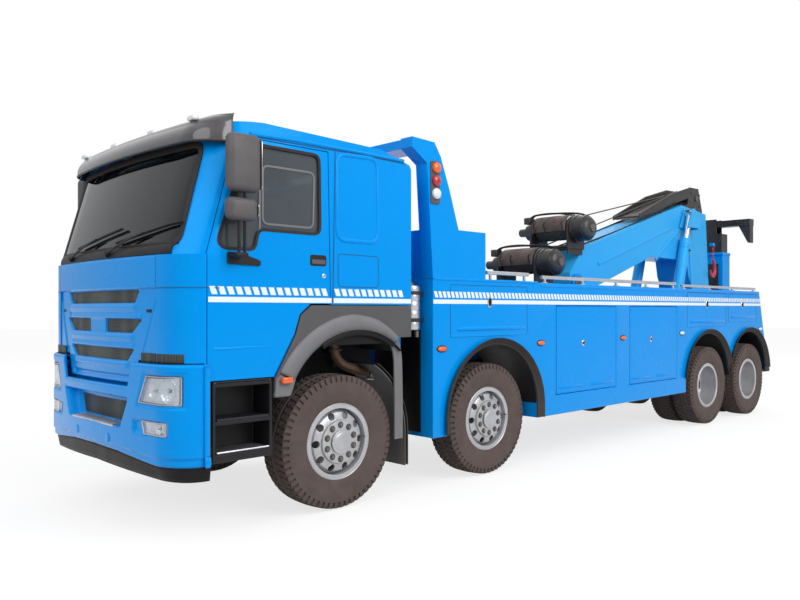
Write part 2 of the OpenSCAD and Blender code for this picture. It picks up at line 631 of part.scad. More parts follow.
module body_deck() color([0.1, 0.35, 0.6]) on_truck() {
  difference() {
    box([body_front + 70, -body_in, deck_z - deck_t], [body_rear - 400, body_in, deck_z]);
    box([slot_front, -slot_y, 0], [body_rear, slot_y, 3000]);
    box([foot_x - 230, -boom_y - 60, 0], [foot_x + 700, boom_y + 60, 3000]);
  }
  both_sides() box([body_front + 70, sub_y[0], rail_top], [body_rear - 420, sub_y[1], rail_top + sub_h]);
  for (x = bulkheads) box([x + 20, -body_in, rail_top], [x + 60, body_in, deck_z - deck_t + 1]);
  both_sides() {
    // shelves under the deck's rear strips
    box([slot_front, slot_y + 10, rail_top + 10], [body_rear - 420, slot_y + 30, deck_z - deck_t + 1]);
    box([slot_front, sub_y[1] - 1, rail_top + 10], [body_rear - 420, slot_y + 30, rail_top + 30]);
    // ears of the boom's foot
    slab(boom_y + pin_gap, boom_y + 45) ear([foot_x, foot_z], 120, rail_top, 560);
    // ears of the lift cylinders
    for (y = [cyl_y - lug_w / 2 - pin_gap - ear_t, cyl_y + lug_w / 2 + pin_gap])
      slab(y, y + ear_t) ear(cyl_base, 75, rail_top + 30, 300);
    rod_y(cyl_base[0], cyl_base[1], cyl_y - lug_w / 2 - pin_gap - 1, cyl_y + lug_w / 2 + pin_gap + 1, cyl_pin_r);
    box([cyl_base[0] - 150, sub_y[0] - 30, rail_top + 10], [cyl_base[0] + 150, sub_y[1] + 20, rail_top + 31]);
  }
  rod_y(foot_x, foot_z, -boom_y - 46, boom_y + 46, foot_pin_r);
  box([foot_x - 280, -sub_y[0] - 1, rail_top + 40], [foot_x + 280, sub_y[0] + 1, rail_top + 70]);
}
gantry_y = [body_y - 150, body_y];
module gantry() color([0.05, 0.5, 0.88]) on_truck() {
  both_sides() slab(gantry_y[0], gantry_y[1]) polygon([[body_front, body_top + fit], [880, 2900], [700, 3020],
    [700, 3110], [970, 3100], [1050, 2980], [1160, 2700], [1280, 2340], [1650, 2340], [1650, body_top + fit]]);
  box([700, -gantry_y[0] - 1, 3020], [960, gantry_y[0] + 1, 3100]);
  box([955, -gantry_y[0] - 1, body_top + fit], [995, gantry_y[0] + 1, 2330]);
  // wall between the bodies under it
  box([955, -body_in + fit, rail_top + 10], [995, body_in - fit, body_top + 1]);
}
// Each rail: first x, last x, height of the tube
hand_rails = [[1700, 2340, 1965], [2560, 5430, 1945], [5600, 7970, 1925]];
rail_y = body_y - 40;
post_pitch = 900;
module body_rails() color([0.8, 0.8, 0.82]) on_truck() both_sides() for (h = hand_rails) {
  translate([h[0], rail_y, h[2]]) rotate([0, 90, 0]) cylinder(h = h[1] - h[0], r = 19);
  n = ceil((h[1] - h[0]) / post_pitch);
  for (i = [0 : n]) translate([h[0] + 60 + (h[1] - h[0] - 120) * i / n, rail_y, body_top + fit])
    cylinder(h = h[2] - body_top - fit, r = 15);
}

// ---------------------------------------------------------------- boom
module along_axis(dx) translate(axis_p) rotate(boom_slope) translate([dx, 0]) children();
module boom_outline() {
  polygon([[foot_x - 130, 2090], [foot_x - 110, 1900], [foot_x, 1840], [foot_x + 510, 1930],
    [foot_x + 1940, 2400], [leg_x - 540, 2390], [leg_x - 480, 2140], [leg_x - 320, 1890],
    [leg_x - 200, 960], [leg_x + 320, 900], [leg_x + 230, 2010], [leg_x + 120, 3190],
    [leg_x - 710, 3265], [foot_x + 170, 2440]]);
  disc_at([foot_x, foot_z], 130);
}
module boom() color([0.05, 0.5, 0.88]) on_truck() difference() {
  union() {
    slab(-boom_y, boom_y) boom_outline();
    both_sides() {
      // ears that hold the rod's eye, without a pin between them
      for (y = [cyl_y - lug_w / 2 - pin_gap - ear_t, cyl_y + lug_w / 2 + pin_gap])
        slab(y, y + ear_t) ear(cyl_eye, 75, 2900, 400);
      slab(boom_y - 1, cyl_y - lug_w / 2 - pin_gap - 1) polygon([[cyl_eye[0] - 60, 2960],
        [cyl_eye[0] + 60, 2960], [cyl_eye[0] + 60, 3150], [cyl_eye[0] - 60, 3150]]);
      slab(boom_y - 1, cyl_y + lug_w / 2 + pin_gap + ear_t) polygon([[cyl_eye[0] + 130, 2880],
        [cyl_eye[0] + 200, 2880], [cyl_eye[0] + 200, 3060], [cyl_eye[0] + 130, 3060]]);
      // ears of the folding pin
      slab(arm_w / 2 - 80, arm_w / 2 - 40) ear_rear();
    }
    rod_y(fold_pin[0], fold_pin[1], -arm_w / 2 + 40, arm_w / 2 - 40, fold_pin_r);
  }
  // tunnel of the sliding section
  slab(-ext_w / 2 - slide_gap, ext_w / 2 + slide_gap) along_axis(-1150) translate([0, -ext_h / 2 - slide_gap])
    square([4500, ext_h + 2 * slide_gap]);
  // hollow rear leg
  slab(-boom_y + 30, boom_y - 30) polygon([[leg_x - 480, 2300], [leg_x - 290, 1880], [leg_x - 170, 1000],
    [leg_x + 285, 940], [leg_x + 195, 2010], [leg_x + 130, 2500]]);
  rod_y(foot_x, foot_z, -boom_y - 1, boom_y + 1, foot_pin_r + running);
}
module ear_rear() {
  disc_at(fold_pin, 80);
  polygon([[leg_x + 280, 960], [fold_pin[0], fold_pin[1] - 80], [fold_pin[0], fold_pin[1] + 80],
    [leg_x + 265, 1350]]);
}
module boom_extension() color([0.07, 0.07, 0.08]) on_truck() {
  difference() {
    slab(-ext_w / 2, ext_w / 2) along_axis(-1000) translate([0, -ext_h / 2]) square([3080, ext_h]);
    slab(-ext_w / 2 + 20, ext_w / 2 - 20) along_axis(-1001) translate([0, -ext_h / 2 + 20])
      square([2700, ext_h - 40]);
  }
  // wear pads at its inner end
  slab(-ext_w / 2 - pad, ext_w / 2 + pad) along_axis(-1000) translate([0, -ext_h / 2 - pad])
    square([120, ext_h + 2 * pad]);
  // head plates with the rope sheaves between them
  both_sides() slab(ext_w / 2 - 25, ext_w / 2) polygon([[leg_x - 400, 3300], [leg_x - 320, 3600],
    [leg_x - 20, 3608], [leg_x + 120, 3230], [leg_x + 40, 3150]]);
  for (y = [-90, 90]) rod_y(leg_x - 90, 3440, y - 45, y + 45, 150);
  rod_y(leg_x - 90, 3440, -ext_w / 2 + 1, ext_w / 2 - 1, 35);
  // rope guard along the top of the boom
  both_sides() slab(ext_w / 2 - 25, ext_w / 2) polygon([[leg_x - 1940, 2960], [leg_x - 1920, 3000],
    [leg_x - 960, 3400], [leg_x - 300, 3602], [leg_x - 300, 3440]]);
}
module along_cylinder(s) translate([cyl_base[0], s * cyl_y, cyl_base[1]]) rotate([0, cyl_tilt, 0]) children();
barrel_l = cyl_len - 500;
module lift_barrels() color([0.05, 0.45, 0.85]) on_truck() for (s = [-1, 1]) difference() {
  union() {
    along_cylinder(s) translate([0, 0, 95]) cylinder(h = barrel_l - 35, r = barrel_r);
    along_cylinder(s) cylinder(h = 100, r = rod_r);
    rod_y(cyl_base[0], cyl_base[1], s * cyl_y - lug_w / 2, s * cyl_y + lug_w / 2, 70);
  }
  rod_y(cyl_base[0], cyl_base[1], s * cyl_y - lug_w / 2 - 1, s * cyl_y + lug_w / 2 + 1, cyl_pin_r + running);
  along_cylinder(s) translate([0, 0, 130]) cylinder(h = barrel_l, r = rod_r + running);
}
module lift_rods() color([0.85, 0.86, 0.88]) on_truck() for (s = [-1, 1]) difference() {
  union() {
    along_cylinder(s) translate([0, 0, 150]) cylinder(h = cyl_len - 150, r = rod_r);
    rod_y(cyl_eye[0], cyl_eye[1], s * cyl_y - lug_w / 2, s * cyl_y + lug_w / 2, 62);
  }
  rod_y(cyl_eye[0], cyl_eye[1], s * cyl_y - lug_w / 2 - 1, s * cyl_y + lug_w / 2 + 1, 30);
}

// ---------------------------------------------------------------- winches
plate_y = drum_l / 2 + 8;
module winch_frame(c, base_z) {
  both_sides() difference() {
    slab(plate_y, plate_y + 30) {
      disc_at(c, 185);
      polygon([[c[0] - 180, base_z], [c[0] + 180, base_z], [c[0] + 180, c[1]], [c[0] - 180, c[1]]]);
    }
    rod_y(c[0], c[1], plate_y - 1, plate_y + 31, 40 + running);
  }
  rod_y(c[0], c[1] - 0, -plate_y - 210, -plate_y - 29, 165);
  rod_y(c[0], c[1] - 0, plate_y + 29, plate_y + 170, 110);
  for (dx = [-150, 150]) rod_y(c[0] + dx, base_z + 25, -plate_y - 1, plate_y + 1, 22);
}
module winch_drum(c) {
  rod_y(c[0], c[1], -drum_l / 2, drum_l / 2, drum_r);
  for (y = [-drum_l / 2, drum_l / 2 - 15]) rod_y(c[0], c[1], y, y + 15, 175);
  rod_y(c[0], c[1], -plate_y - 28, plate_y + 28, 40);
}
module deck_winch() color([0.1, 0.1, 0.1]) on_truck() winch_frame(deck_winch_c, deck_z + fit);
module deck_winch_drum() color([0.2, 0.2, 0.2]) on_truck() winch_drum(deck_winch_c);
module boom_winch() color([0.1, 0.1, 0.1]) on_truck() {
  difference() {
    winch_frame(boom_winch_c, 2400);
    slab(-boom_y - fit, boom_y + fit) boom_seat();
  }
  both_sides() slab(boom_y + fit, boom_y + 20) polygon([[foot_x - 200, 2330], [foot_x + 120, 2330],
    [foot_x + 140, 2470], [foot_x - 200, 2470]]);
}
module boom_seat() polygon([[foot_x - 130, 2090], [foot_x + 170, 2441], [foot_x + 1170, 2756],
  [foot_x + 1170, 2000]]);
module boom_winch_drum() color([0.2, 0.2, 0.2]) on_truck() winch_drum(boom_winch_c);

// ---------------------------------------------------------------- underlift
lug_y = arm_w / 2 - 80 - pin_gap;
module underlift_arm() color([0.05, 0.5, 0.88]) on_truck() {
  difference() {
    box([arm_x, -arm_w / 2, arm_z[0]], [arm_x + arm_d, arm_w / 2, arm_z[1]]);
    box([arm_x + arm_t, -arm_w / 2 + arm_t, arm_z[0] + 40], [arm_x + arm_d - arm_t, arm_w / 2 - arm_t, 3000]);
  }
  difference() {
    slab(-lug_y, lug_y) {
      disc_at(fold_pin, 80);
      polygon([[fold_pin[0] - 20, fold_pin[1] + 77], [fold_pin[0] + 60, fold_pin[1] - 52],
        [arm_x + 1, arm_z[0] + 1], [arm_x + 1, arm_z[0] + 300]]);
      polygon([[fold_pin[0] + 60, fold_pin[1] - 52], [arm_x + 160, arm_z[0] - 20], [arm_x + 160, arm_z[0] + 1],
        [arm_x - 20, arm_z[0] + 1]]);
    }
    rod_y(fold_pin[0], fold_pin[1], -lug_y - 1, lug_y + 1, fold_pin_r + running);
  }
}
in_x = [arm_x + arm_t + slide_gap, arm_x + arm_d - arm_t - slide_gap];
in_y = arm_w / 2 - arm_t - slide_gap;
module underlift_extension() color([0.07, 0.07, 0.08]) on_truck() {
  box([in_x[0], -in_y, arm_z[0] + 150], [in_x[1], in_y, bar_z - 170]);
  box([in_x[0] - pad, -in_y - pad, arm_z[0] + 150], [in_x[1] + pad, in_y + pad, arm_z[0] + 250]);
  // fork and pin of the crossbar
  for (x = [in_x[0], in_x[1] - fork_t]) box([x, -140, bar_z - 171], [x + fork_t, 140, bar_z + 85]);
  rod_x(in_x[0], in_x[1], bar_pin_r);
}
fork_t = 22;
bar_pin_r = 40;
module rod_x(x0, x1, r) translate([x0, 0, bar_z]) rotate([0, 90, 0]) cylinder(h = x1 - x0, r = r);
bar_xs = [in_x[0] + fork_t + pin_gap, in_x[1] - fork_t - pin_gap];
// Receivers for lifting forks
fork_r = 25;
fork_y = bar_l / 2 - 100;
module crossbar() color([0.07, 0.07, 0.08]) on_truck() {
  difference() {
    box([bar_xs[0], -bar_l / 2, bar_z - bar_h / 2], [bar_xs[1], bar_l / 2, bar_z + bar_h / 2]);
    rod_x(bar_xs[0] - 1, bar_xs[1] + 1, bar_pin_r + running);
    for (s = [-1, 1]) translate([0, s * fork_y, 0]) rod_x(bar_xs[0] - 1, bar_xs[1] + 1, fork_r);
  }
  both_sides() panel(bar_xs[0] + 20, bar_xs[1] - 20) polygon([[bar_l / 2 - 200, bar_z - bar_h / 2 + 1],
    [bar_l / 2, bar_z - bar_h / 2 + 1], [bar_l / 2, bar_z - 350], [bar_l / 2 - 40, bar_z - 350]]);
}

chassis_frame();
axles();
engine();
drive_line();
front_bumper();
head_lamps();
cab_shell();
windscreen();
door(-1);  // left_door
door(1);  // right_door
door_glass(-1);  // left_door_glass
door_glass(1);  // right_door_glass
mirror_arm(-1);  // left_mirror
mirror_arm(1);  // right_mirror
front_lid();
sun_visor();
cab_interior();
mudguards();
cab_steps();
air_canister();
locker_bodies();
body_deck();
gantry();
body_rails();
locker_door(locker_1, -1);  // left_locker_door_1
locker_door(locker_2, -1);  // left_locker_door_2
locker_door(locker_1, 1);  // right_locker_door_1
locker_door(locker_2, 1);  // right_locker_door_2
knuckle(0, -1);  // left_knuckle_1
knuckle(0, 1);  // right_knuckle_1
knuckle(axle_2, -1);  // left_knuckle_2
knuckle(axle_2, 1);  // right_knuckle_2
tyre(0, -1);  // left_tyre_1
tyre(0, 1);  // right_tyre_1
tyre(axle_2, -1);  // left_tyre_2
tyre(axle_2, 1);  // right_tyre_2
twin_tyres(axle_3, -1);  // left_tyres_3
twin_tyres(axle_3, 1);  // right_tyres_3
twin_tyres(axle_4, -1);  // left_tyres_4
twin_tyres(axle_4, 1);  // right_tyres_4
front_wheel(0, -1);  // left_wheel_1
front_wheel(0, 1);  // right_wheel_1
front_wheel(axle_2, -1);  // left_wheel_2
front_wheel(axle_2, 1);  // right_wheel_2
rear_wheels(axle_3, -1);  // left_wheels_3
rear_wheels(axle_3, 1);  // right_wheels_3
rear_wheels(axle_4, -1);  // left_wheels_4
rear_wheels(axle_4, 1);  // right_wheels_4
boom();
boom_extension();
lift_barrels();
lift_rods();
deck_winch();
deck_winch_drum();
boom_winch();
boom_winch_drum();
underlift_arm();
underlift_extension();
crossbar();
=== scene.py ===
import json
import math

import bmesh
import bpy
import numpy as np
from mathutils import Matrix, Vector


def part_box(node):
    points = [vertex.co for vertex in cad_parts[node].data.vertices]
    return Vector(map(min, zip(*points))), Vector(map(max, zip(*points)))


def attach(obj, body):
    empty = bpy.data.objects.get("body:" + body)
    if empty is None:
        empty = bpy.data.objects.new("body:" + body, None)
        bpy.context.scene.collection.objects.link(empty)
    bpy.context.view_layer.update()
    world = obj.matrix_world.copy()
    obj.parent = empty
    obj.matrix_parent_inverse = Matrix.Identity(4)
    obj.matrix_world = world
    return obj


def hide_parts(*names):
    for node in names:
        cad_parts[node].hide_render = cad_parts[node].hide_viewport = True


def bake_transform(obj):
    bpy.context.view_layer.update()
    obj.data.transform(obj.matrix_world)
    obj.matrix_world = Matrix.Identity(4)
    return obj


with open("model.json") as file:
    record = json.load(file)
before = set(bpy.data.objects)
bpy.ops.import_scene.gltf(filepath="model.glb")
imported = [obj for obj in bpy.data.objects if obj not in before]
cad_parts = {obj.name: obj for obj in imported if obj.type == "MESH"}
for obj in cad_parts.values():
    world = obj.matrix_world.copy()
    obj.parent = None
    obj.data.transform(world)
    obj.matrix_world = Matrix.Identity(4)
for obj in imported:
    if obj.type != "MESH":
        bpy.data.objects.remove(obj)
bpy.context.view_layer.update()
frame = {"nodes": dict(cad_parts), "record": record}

bl_info = {
    "name": "Heavy tow truck",
    "version": (1, 0, 0),
    "blender": (4, 5, 0),
    "location": "View3D > Sidebar > Tow truck",
    "description": "Finishes the four-axle tow truck: panels, wheels, lamps, boom, winches and stage",
    "category": "Object",
}


# ---------------------------------------------------------------- places from the frame
def centre(node):
    """Middle of a node's box, in the row frame."""
    low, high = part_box(node)
    return np.array((low + high) / 2)


DATUM = centre("left_tyre_1")[0]  # axle 1; every x below is measured from it, rearward
AXLES = [centre(n)[0] - DATUM for n in ("left_tyre_1", "left_tyre_2", "left_tyres_3", "left_tyres_4")]
HUB_Z = centre("left_tyre_1")[2]
CAB_Y = 1.248
CAB_FRONT = 1.462
BODY_Y = 1.25
CORNER_R = 0.26
BOW = 0.058
BUMPER_FRONT = 1.5
ARCH_Z = 0.62
ARCH_R = 0.655
SIDES = (("left", -1), ("right", 1))


def srgb(r, g, b):
    """Linear colour from eight-bit screen values."""
    c = np.array([r, g, b]) / 255
    return tuple(float(v) for v in np.where(c > 0.04045, ((c + 0.055) / 1.055) ** 2.4, c / 12.92))


# ---------------------------------------------------------------- surfaces
def grid(points, wrap_u=False, wrap_v=False):
    """Quads between the neighbours of a grid of points of shape (rows, columns, 3)."""
    nu, nv = points.shape[:2]
    i, j = np.meshgrid(np.arange(nu if wrap_u else nu - 1), np.arange(nv if wrap_v else nv - 1), indexing="ij")
    i2, j2 = (i + 1) % nu, (j + 1) % nv
    faces = np.stack([i * nv + j, i * nv + j2, i2 * nv + j2, i2 * nv + j], -1).reshape(-1, 4)
    return points.reshape(-1, 3), faces.tolist()


def joined(*meshes):
    """One mesh of several, their faces counted on."""
    verts, faces, count = [], [], 0
    for v, f in meshes:
        verts.append(np.asarray(v, float).reshape(-1, 3))
        faces += [[i + count for i in face] for face in f]
        count += len(verts[-1])
    return np.concatenate(verts), faces


def mirrored(mesh):
    """The same mesh on the other side of y = 0, its faces turned to stay outward."""
    v, f = mesh
    return v * np.array([1, -1, 1]), [face[::-1] for face in f]


def both(*meshes):
    """The meshes and their mirror images."""
    mesh = joined(*meshes)
    return joined(mesh, mirrored(mesh))


def on_side(side, *meshes):
    """The meshes as drawn for the left side (negative y), or mirrored for the right."""
    mesh = joined(*meshes)
    return mesh if side < 0 else mirrored(mesh)


def moved(mesh, offsets):
    """A copy of the mesh at each offset."""
    v, f = mesh
    offsets = np.asarray(offsets, float).reshape(-1, 3)
    n = len(v)
    return (v[None] + offsets[:, None]).reshape(-1, 3), [[i + k * n for i in face] for k in range(len(offsets)) for face in f]


def unit(v):
    return v / np.maximum(np.linalg.norm(v, axis=-1, keepdims=True), 1e-9)


def smoothstep(a, b, x):
    """0 up to a, 1 from b, and 3t^2 - 2t^3 between them."""
    t = np.clip((x - a) / (b - a), 0, 1)
    return t * t * (3 - 2 * t)


def rounded_box(low, high, r=0.01, turns=3, corner=3):
    """A box with rounded edges: a rounded rectangle in x and y, whose inset follows a quarter circle at both ends in z."""
    low, high = np.asarray(low, float), np.asarray(high, float)
    r = min(r, *(0.499 * (high - low)))
    a = np.linspace(0, math.pi / 2, turns + 1)
    inset = np.concatenate([[1e3], r * (1 - np.sin(a)), r * (1 - np.cos(a)), [1e3]])
    z = np.concatenate([[low[2]], low[2] + r * (1 - np.cos(a)), high[2] - r * (1 - np.sin(a)), [high[2]]])
    q = np.linspace(0, math.pi / 2, corner + 1)
    angles = (q[None] + np.arange(4)[:, None] * math.pi / 2).ravel()
    half = (high - low)[:2] / 2 - r
    signs = np.array([[1, 1], [-1, 1], [-1, -1], [1, -1]]).repeat(corner + 1, 0)
    mid = (low + high)[:2] / 2
    edge = mid + signs * half
    out = np.stack([np.cos(angles), np.sin(angles)], -1)
    ring = edge[None] + (r - np.minimum(inset, r))[:, None, None] * out[None]
    pole = (inset > 1)[:, None, None]
    ring = np.where(pole, mid, ring)
    return grid(np.concatenate([ring, np.broadcast_to(z[:, None, None], ring.shape[:2] + (1,))], -1), wrap_v=True)


def turned(mesh, point, axis, degrees):
    """The mesh turned about an axis through a point, by the rotation formula of Rodrigues."""
    v, f = mesh
    k = unit(np.asarray(axis, float))
    p = v - np.asarray(point, float)
    a = math.radians(degrees)
    v = p * math.cos(a) + np.cross(k, p) * math.sin(a) + k * (p @ k)[:, None] * (1 - math.cos(a))
    return v + np.asarray(point, float), f


def frames(path, up, loop=False):
    """Side and upright directions at each point of a path: side = tangent x up, upright = side x tangent."""
    if loop:
        t = np.roll(path, -1, 0) - np.roll(path, 1, 0)
    else:
        t = np.gradient(path, axis=0)
    t = unit(t)
    side = unit(np.cross(t, np.asarray(up, float)))
    return side, np.cross(side, t)


def sweep(profile, path, up=(0, 0, 1), loop=False, scale=None):
    """A closed profile carried along a path: point = path + scale * (p0 * side + p1 * upright); open ends are closed by a point in their middle."""
    profile, path = np.asarray(profile, float), np.asarray(path, float)
    side, upright = frames(path, up, loop)
    size = np.ones(len(path)) if scale is None else np.asarray(scale, float)
    p = path[:, None] + size[:, None, None] * (
        profile[None, :, :1] * side[:, None] + profile[None, :, 1:] * upright[:, None])
    if not loop:
        middle = lambda ring: np.broadcast_to(ring.mean(0), ring.shape)[None]
        p = np.concatenate([middle(p[0]), p, middle(p[-1])])
    return grid(p, wrap_u=loop, wrap_v=True)


def circle(r, n=10, squash=1.0):
    a = np.arange(n) * 2 * math.pi / n
    return np.stack([r * np.cos(a), squash * r * np.sin(a)], -1)


def rounded_rect(w, h, r, n=3):
    """Outline of a rectangle with quarter-circle corners, round its middle."""
    a = (np.linspace(0, math.pi / 2, n + 1)[None] + np.arange(4)[:, None] * math.pi / 2).ravel()
    s = np.array([[1, 1], [-1, 1], [-1, -1], [1, -1]]).repeat(n + 1, 0)
    return s * np.array([w / 2 - r, h / 2 - r]) + r * np.stack([np.cos(a), np.sin(a)], -1)


def tube(path, r, n=10, up=(0.13, 0.21, 0.97), loop=False):
    """A round tube along a path; r is one radius, or one for each point."""
    r = np.broadcast_to(np.asarray(r, float), (len(path),))
    return sweep(circle(1, n), path, up, loop, r)


def spline(points, n=40):
    """A smooth path through points: a Catmull-Rom cubic between each pair."""
    p = np.asarray(points, float)
    p = np.concatenate([[2 * p[0] - p[1]], p, [2 * p[-1] - p[-2]]])
    t = np.linspace(0, len(p) - 3 - 1e-9, n)
    i = t.astype(int)
    u = (t - i)[:, None]
    a, b, c, d = p[i], p[i + 1], p[i + 2], p[i + 3]
    return 0.5 * (2 * b + (c - a) * u + (2 * a - 5 * b + 4 * c - d) * u**2 + (3 * b - a - 3 * c + d) * u**3)


def lathe(profile, at, axis="y", n=40, turn=1):
    """A profile of (along, radius) turned round an axis through a point; it starts and ends at radius 0, or is a closed loop."""
    profile = np.asarray(profile, float)
    k = "xyz".index(axis)
    e1, e2 = np.roll(np.eye(3), 1, 0)[k], np.roll(np.eye(3), 2, 0)[k]
    along = np.eye(3)[k] * turn
    a = np.arange(n) * 2 * math.pi / n
    ring = np.cos(a)[:, None] * e1 + np.sin(a)[:, None] * e2
    p = np.asarray(at, float) + profile[:, :1, None] * along + profile[:, 1:, None] * ring[None]
    closed = profile[0][1] > 0
    return grid(p, wrap_u=closed, wrap_v=True)


def prism(outline, low, high, axis="y", bevel=0.0):
    """An outline extruded along an axis between two flat faces, its edges cut back by the bevel."""
    o = np.asarray(outline, float)
    area = 0.5 * np.sum(o[:, 0] * np.roll(o[:, 1], -1) - np.roll(o[:, 0], -1) * o[:, 1])
    if area < 0:
        o = o[::-1]
    before, after = unit(o - np.roll(o, 1, 0)), unit(np.roll(o, -1, 0) - o)
    n1, n2 = np.stack([-before[:, 1], before[:, 0]], -1), np.stack([-after[:, 1], after[:, 0]], -1)
    inward = (n1 + n2) / np.maximum(1 + np.sum(n1 * n2, -1, keepdims=True), 0.4)
    levels = [(low, bevel), (low + bevel, 0), (high - bevel, 0), (high, bevel)] if bevel else [(low, 0), (high, 0)]
    rings = [np.insert(o + inward * inset, "xyz".index(axis), d, axis=1) for d, inset in levels]
    n = len(o)
    v, f = grid(np.stack(rings), wrap_v=True)
    last = (len(rings) - 1) * n
    return v, f + [list(range(n))[::-1], [last + i for i in range(n)]]


def outline_band(outline, width, y0, y1):
    """A raised band round an outline in x and z, between the outline and one moved outward by the width."""
    o = np.asarray(outline, float)
    path = np.insert(o, 1, (y0 + y1) / 2, axis=1)
    h = abs(y1 - y0) / 2
    return sweep([(-width / 2, -h), (width / 2, -h), (width / 2, h), (-width / 2, h)], path, (0, 1, 0), True)


def rounded_outline(points, r, n=4):
    """A polygon whose corners are replaced by quadratic curves that start r away from them."""
    p = np.asarray(points, float)
    a = unit(np.roll(p, 1, 0) - p)
    b = unit(np.roll(p, -1, 0) - p)
    la = np.linalg.norm(np.roll(p, 1, 0) - p, axis=1)
    lb = np.linalg.norm(np.roll(p, -1, 0) - p, axis=1)
    ra, rb = np.minimum(r, la / 2.1)[:, None, None], np.minimum(r, lb / 2.1)[:, None, None]
    t = np.linspace(0, 1, n + 1)[None, :, None]
    q = (1 - t) ** 2 * (p[:, None] + ra * a[:, None]) + 2 * t * (1 - t) * p[:, None] + t**2 * (p[:, None] + rb * b[:, None])
    return q.reshape(-1, p.shape[1])


def arc_points(cx, cz, r, start, stop, y, n=48):
    a = np.radians(np.linspace(start, stop, n))
    return np.stack([cx + r * np.cos(a), np.full(n, y), cz + r * np.sin(a)], -1)


# Hexagon head with a washer, its axis along +y
def bolt(at, r=0.012, h=0.01, axis="y", turn=-1):
    return lathe([(0, 0), (0, r * 1.35), (h * 0.25, r * 1.35), (h * 0.25, r), (h * 0.9, r), (h, r * 0.85), (h, 0)],
                 at, axis, 6, turn)


def bolts(points, r=0.012, h=0.01, axis="y", turn=-1):
    return moved(bolt((0, 0, 0), r, h, axis, turn), points)


# ---------------------------------------------------------------- the bowed front in plan
def front_line(front, n=220, rear=-1.0):
    """Points of the cab's plan from the left side round to the right: x = -front + bow (y / 0.988)^2 in the middle, then a quarter turn into the flat side.
    Gives (points, arc length from the middle)."""
    flat = CAB_Y - CORNER_R
    y = np.linspace(0, flat, 200)
    x = -front + BOW * (y / flat) ** 2
    a = np.radians(np.linspace(12, 90, 100))[1:]
    xc = -front + BOW + CORNER_R * (math.cos(math.radians(12)) - np.cos(a))
    yc = flat + CORNER_R * (np.sin(a) - math.sin(math.radians(12))) / (1 - math.sin(math.radians(12)))
    x, y = np.concatenate([x, xc, [rear]]), np.concatenate([y, yc, [CAB_Y]])
    s = np.concatenate([[0], np.cumsum(np.hypot(np.diff(x), np.diff(y)))])
    return s, x, y


def on_front(s, front, inset=0.0, rear=-1.0):
    """Point (x, y) of the plan at arc length s from the middle, moved inward by the inset."""
    table_s, table_x, table_y = front_line(front, rear=rear)
    q, sign = np.abs(s), np.sign(s)
    x, y = np.interp(q, table_s, table_x), np.interp(q, table_s, table_y)
    step = 0.004
    tx = np.interp(q + step, table_s, table_x) - np.interp(q - step, table_s, table_x)
    ty = np.interp(q + step, table_s, table_y) - np.interp(q - step, table_s, table_y)
    length = np.maximum(np.hypot(tx, ty), 1e-9)
    return x + inset * ty / length, (y - inset * tx / length) * sign


def front_s(y, front=BUMPER_FRONT):
    """Arc length at which the plan reaches y."""
    s, _, py = front_line(front)
    return float(np.interp(abs(y), py, s)) * (1 if y >= 0 else -1)


def front_patch(s, z, front, inset):
    """A surface patch over the plan: s and z are grids of equal shape, the inset a number or a grid."""
    x, y = on_front(s, front, inset)
    return np.stack([x, y, z], -1)


# ---------------------------------------------------------------- objects
def make(name, body, material, *meshes, angle=35, shell=True, solid=0.0, bevel=0.0, subdivide=0):
    """Object from meshes given in truck coordinates. A shell is closed and gets outward normals; an open sheet keeps its faces' turn."""
    v, f = joined(*meshes)
    v = v + np.array([DATUM, 0, 0])
    mesh = bpy.data.meshes.new(name)
    mesh.from_pydata(v.tolist(), [], f)
    bm = bmesh.new()
    bm.from_mesh(mesh)
    bmesh.ops.remove_doubles(bm, verts=bm.verts, dist=2e-6)
    if shell:
        bmesh.ops.recalc_face_normals(bm, faces=bm.faces)
    bm.to_mesh(mesh)
    bm.free()
    return finish_object(name, body, material, mesh, angle, solid, bevel, subdivide)


def finish_object(name, body, material, mesh, angle, solid=0.0, bevel=0.0, subdivide=0):
    mesh.materials.clear()
    mesh.materials.append(material)
    mesh.polygons.foreach_set("use_smooth", np.ones(len(mesh.polygons), bool))
    mesh.polygons.foreach_set("material_index", np.zeros(len(mesh.polygons), np.int32))
    if angle < 180:
        mesh.set_sharp_from_angle(angle=math.radians(angle))
    obj = bpy.data.objects.new(name, mesh)
    bpy.context.scene.collection.objects.link(obj)
    if solid:
        wall = obj.modifiers.new("wall", "SOLIDIFY")
        wall.thickness, wall.offset, wall.use_even_offset = abs(solid), -1, False
    if bevel:
        edge = obj.modifiers.new("edges", "BEVEL")
        edge.width, edge.segments, edge.limit_method = bevel, 2, "ANGLE"
        edge.angle_limit, edge.harden_normals = math.radians(40), True
    if subdivide:
        level = obj.modifiers.new("smooth", "SUBSURF")
        level.levels = level.render_levels = subdivide
    if body:
        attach(obj, body)
    return obj


def body_of(node):
    return next(body for body, nodes in frame["record"]["behaviour"]["bodies"].items() if node in nodes)


def dressed(node, material, bevel=0.006, angle=30, flat=0.6, name=None):
    """A merged copy of a CAD node with smooth faces and softened edges, which stands in for it."""
    mesh = frame["nodes"][node].data.copy()
    bm = bmesh.new()
    bm.from_mesh(mesh)
    bmesh.ops.remove_doubles(bm, verts=bm.verts, dist=1e-5)
    bmesh.ops.dissolve_limit(bm, angle_limit=math.radians(flat), verts=bm.verts, edges=bm.edges)
    bm.to_mesh(mesh)
    bm.free()
    obj = finish_object(name or node + "_finished", body_of(node), material, mesh, angle, bevel=bevel)
    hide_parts(node)
    return obj


